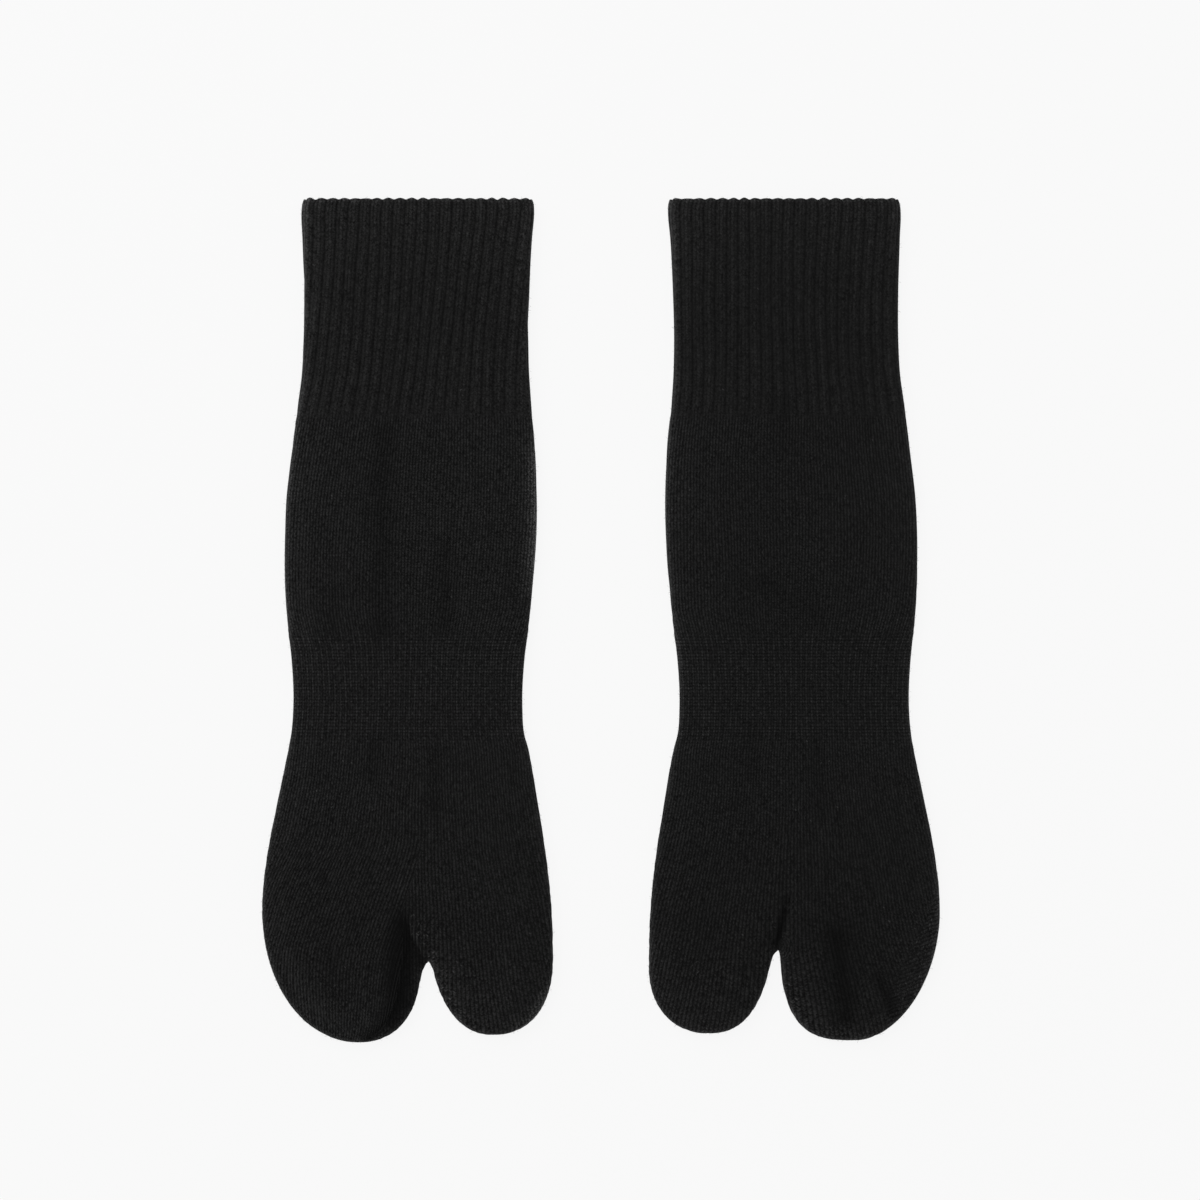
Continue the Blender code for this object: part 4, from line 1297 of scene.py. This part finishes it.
def loose_yarn():
    """The fine fibres that stand out of the yarn."""
    material, bench = new_material("loose_yarn")
    place = bench.node("ShaderNodeTexCoord", output=3)
    level = FIBRE_LEAST + FIBRE_RANGE * bench.noise(place, GRAIN_SCALE, 0.0)
    colour = grey(bench, level * FIBRE_COLOUR)
    bench.coat({"Base Color": colour, "Roughness": 1.0, "Specular IOR Level": 0.0})
    return material


def bent_fibre(bench, length, thickness):
    """One fibre of three sides that stands up and bends over."""
    bend, tip = (
        bench.node("ShaderNodeCombineXYZ", {}, {"X": length * aside, "Z": length * out})
        for aside, out in FIBRE_BENDS
    )
    line = bench.node("GeometryNodeCurveQuadraticBezier", {}, {
        "Resolution": 2, "Start": (0.0, 0.0, 0.0), "Middle": bend, "End": tip,
    })
    round_yarn = bench.node("GeometryNodeCurvePrimitiveCircle", {}, {
        "Resolution": 3, "Radius": thickness * 0.5,
    })
    return bench.node("GeometryNodeCurveToMesh", {}, {
        "Curve": line, "Profile Curve": round_yarn, "Fill Caps": True,
    })


def fibre_tree(material):
    """A node tree that grows short bent fibres on a cloth, thicker where its nap is."""
    tree = bpy.data.node_groups.new("loose_fibres", "GeometryNodeTree")
    sockets = tree.interface
    sockets.new_socket("Cloth", in_out="INPUT", socket_type="NodeSocketGeometry")
    for name in ("Fibres in a square metre", "Length", "Thickness"):
        sockets.new_socket(name, in_out="INPUT", socket_type="NodeSocketFloat")
    sockets.new_socket("Seed", in_out="INPUT", socket_type="NodeSocketInt")
    sockets.new_socket("Fibres", in_out="OUTPUT", socket_type="NodeSocketGeometry")
    bench = Bench(tree)
    cloth = bench.node("NodeGroupInput")
    thickly, length, thickness, seed = (
        bench.beside(cloth, name)
        for name in ("Fibres in a square metre", "Length", "Thickness", "Seed")
    )
    nap = bench.node("GeometryNodeInputNamedAttribute", {"data_type": "FLOAT"}, {"Name": "nap"})
    roots = bench.node(
        "GeometryNodeDistributePointsOnFaces", {"distribute_method": "RANDOM"},
        {"Mesh": cloth, "Density": thickly * nap, "Seed": seed},
    )
    fibre = bent_fibre(bench, length, thickness)
    size = bench.node(
        "FunctionNodeRandomValue", {"data_type": "FLOAT"},
        {"Min": FIBRE_SIZES[0], "Max": FIBRE_SIZES[1], "Seed": seed}, output="Value",
    )
    size = Wire(bench, next(
        socket for socket in size.socket.node.outputs if socket.enabled and socket.name == "Value"
    ))
    standing = bench.node("GeometryNodeInstanceOnPoints", {}, {
        "Points": roots, "Instance": fibre,
        "Rotation": bench.beside(roots, "Rotation"), "Scale": size,
    })
    lean = bench.node(
        "FunctionNodeRandomValue", {"data_type": "FLOAT_VECTOR"}, {
            "Min": (-FIBRE_TILT, -FIBRE_TILT, 0.0), "Max": (FIBRE_TILT, FIBRE_TILT, 2.0 * math.pi),
            "Seed": seed,
        },
    )
    leaning = bench.node(
        "GeometryNodeRotateInstances", {}, {"Instances": standing, "Rotation": lean},
    )
    real = bench.node("GeometryNodeRealizeInstances", {}, {"Geometry": leaning})
    dyed = bench.node("GeometryNodeSetMaterial", {}, {"Geometry": real, "Material": material})
    bench.node("NodeGroupOutput", {}, {"Fibres": dyed})
    return tree


def grow_fibres(name, sock, tree, seed):
    """Grow the fibres of one sock as a plain mesh."""
    modifier = sock.modifiers.new("fibres", "NODES")
    modifier.node_group = tree
    sizes = {
        "Fibres in a square metre": FIBRES_PER_AREA, "Length": FIBRE_LENGTH,
        "Thickness": FIBRE_THICKNESS, "Seed": seed,
    }
    for socket in tree.interface.items_tree:
        if socket.name in sizes:
            modifier[socket.identifier] = sizes[socket.name]
    grown = sock.evaluated_get(bpy.context.evaluated_depsgraph_get())
    mesh = bpy.data.meshes.new_from_object(grown)
    sock.modifiers.remove(modifier)
    mesh.name = name
    for field in [item.name for item in mesh.attributes if not item.is_internal]:
        if field not in ("position", "material_index") and not mesh.attributes[field].is_required:
            mesh.attributes.remove(mesh.attributes[field])
    places = np.empty(len(mesh.vertices) * 3, dtype=np.float32)
    mesh.vertices.foreach_get("co", places)
    places[2::3] = np.maximum(places[2::3], 0.0)
    mesh.vertices.foreach_set("co", places)
    return stand(name, mesh)


def paper_floor():
    """A wide pale table top that glows a little, as on a light table."""
    material, bench = new_material("pale_table")
    bench.coat({
        "Base Color": (FLOOR_COLOUR, FLOOR_COLOUR, FLOOR_COLOUR, 1.0),
        "Roughness": 1.0,
        "Specular IOR Level": 0.0,
        "Emission Color": (1.0, 1.0, 1.0, 1.0),
        "Emission Strength": FLOOR_GLOW,
    })
    mesh = bpy.data.meshes.new("table_top")
    corners = [(-1.0, -1.0), (1.0, -1.0), (1.0, 1.0), (-1.0, 1.0)]
    places = [(FLOOR_REACH * x, FLOOR_REACH * y, FLOOR_HEIGHT) for x, y in corners]
    mesh.from_pydata(places, [], [(0, 1, 2, 3)])
    mesh.materials.append(material)
    floor = stand("table_top", mesh)
    return floor


def studio():
    """Even light from all round, and one large soft lamp."""
    scene = bpy.context.scene
    world = bpy.data.worlds.new("studio")
    world.use_nodes = True
    world.node_tree.nodes.clear()
    bench = Bench(world.node_tree)
    light = {"Color": (1.0, 1.0, 1.0, 1.0), "Strength": SKY_LIGHT}
    sky = bench.node("ShaderNodeBackground", {}, light)
    bench.node("ShaderNodeOutputWorld", {}, {"Surface": sky})
    scene.world = world
    lamp = bpy.data.lights.new("soft_lamp", "AREA")
    lamp.shape, lamp.size, lamp.energy = "SQUARE", LAMP_SIZE, LAMP_POWER
    thing = stand("soft_lamp", lamp)
    thing.location = LAMP_PLACE
    thing.rotation_mode = "QUATERNION"
    thing.rotation_quaternion = (-Vector(LAMP_PLACE)).to_track_quat("-Z", "Y")
    scene.view_settings.view_transform = "Standard"
    scene.view_settings.look = "None"


def camera_above():
    """A camera that looks straight down on the pair."""
    data = bpy.data.cameras.new("camera")
    data.lens, data.sensor_width = LENS, SENSOR
    camera = stand("camera", data)
    camera.location = (*VIEW_CENTRE, FOLD_RADIUS * MM + VIEW_WIDTH * LENS / SENSOR)
    bpy.context.scene.camera = camera


floor = paper_floor()
studio()
camera_above()
fibres = fibre_tree(loose_yarn())
for hand, table, side, tone, grain, seed in PAIR:
    sock = knit_sock(f"knit_sock_{hand}", SockForm(**table), side)
    sock.data.materials.append(black_knit(f"black_knit_{hand}", tone, grain))
    fuzz = grow_fibres(f"fuzz_{hand}", sock, fibres, seed)
    for piece in (sock, fuzz):
        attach(piece, "root")
    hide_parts(f"sock_{hand}")
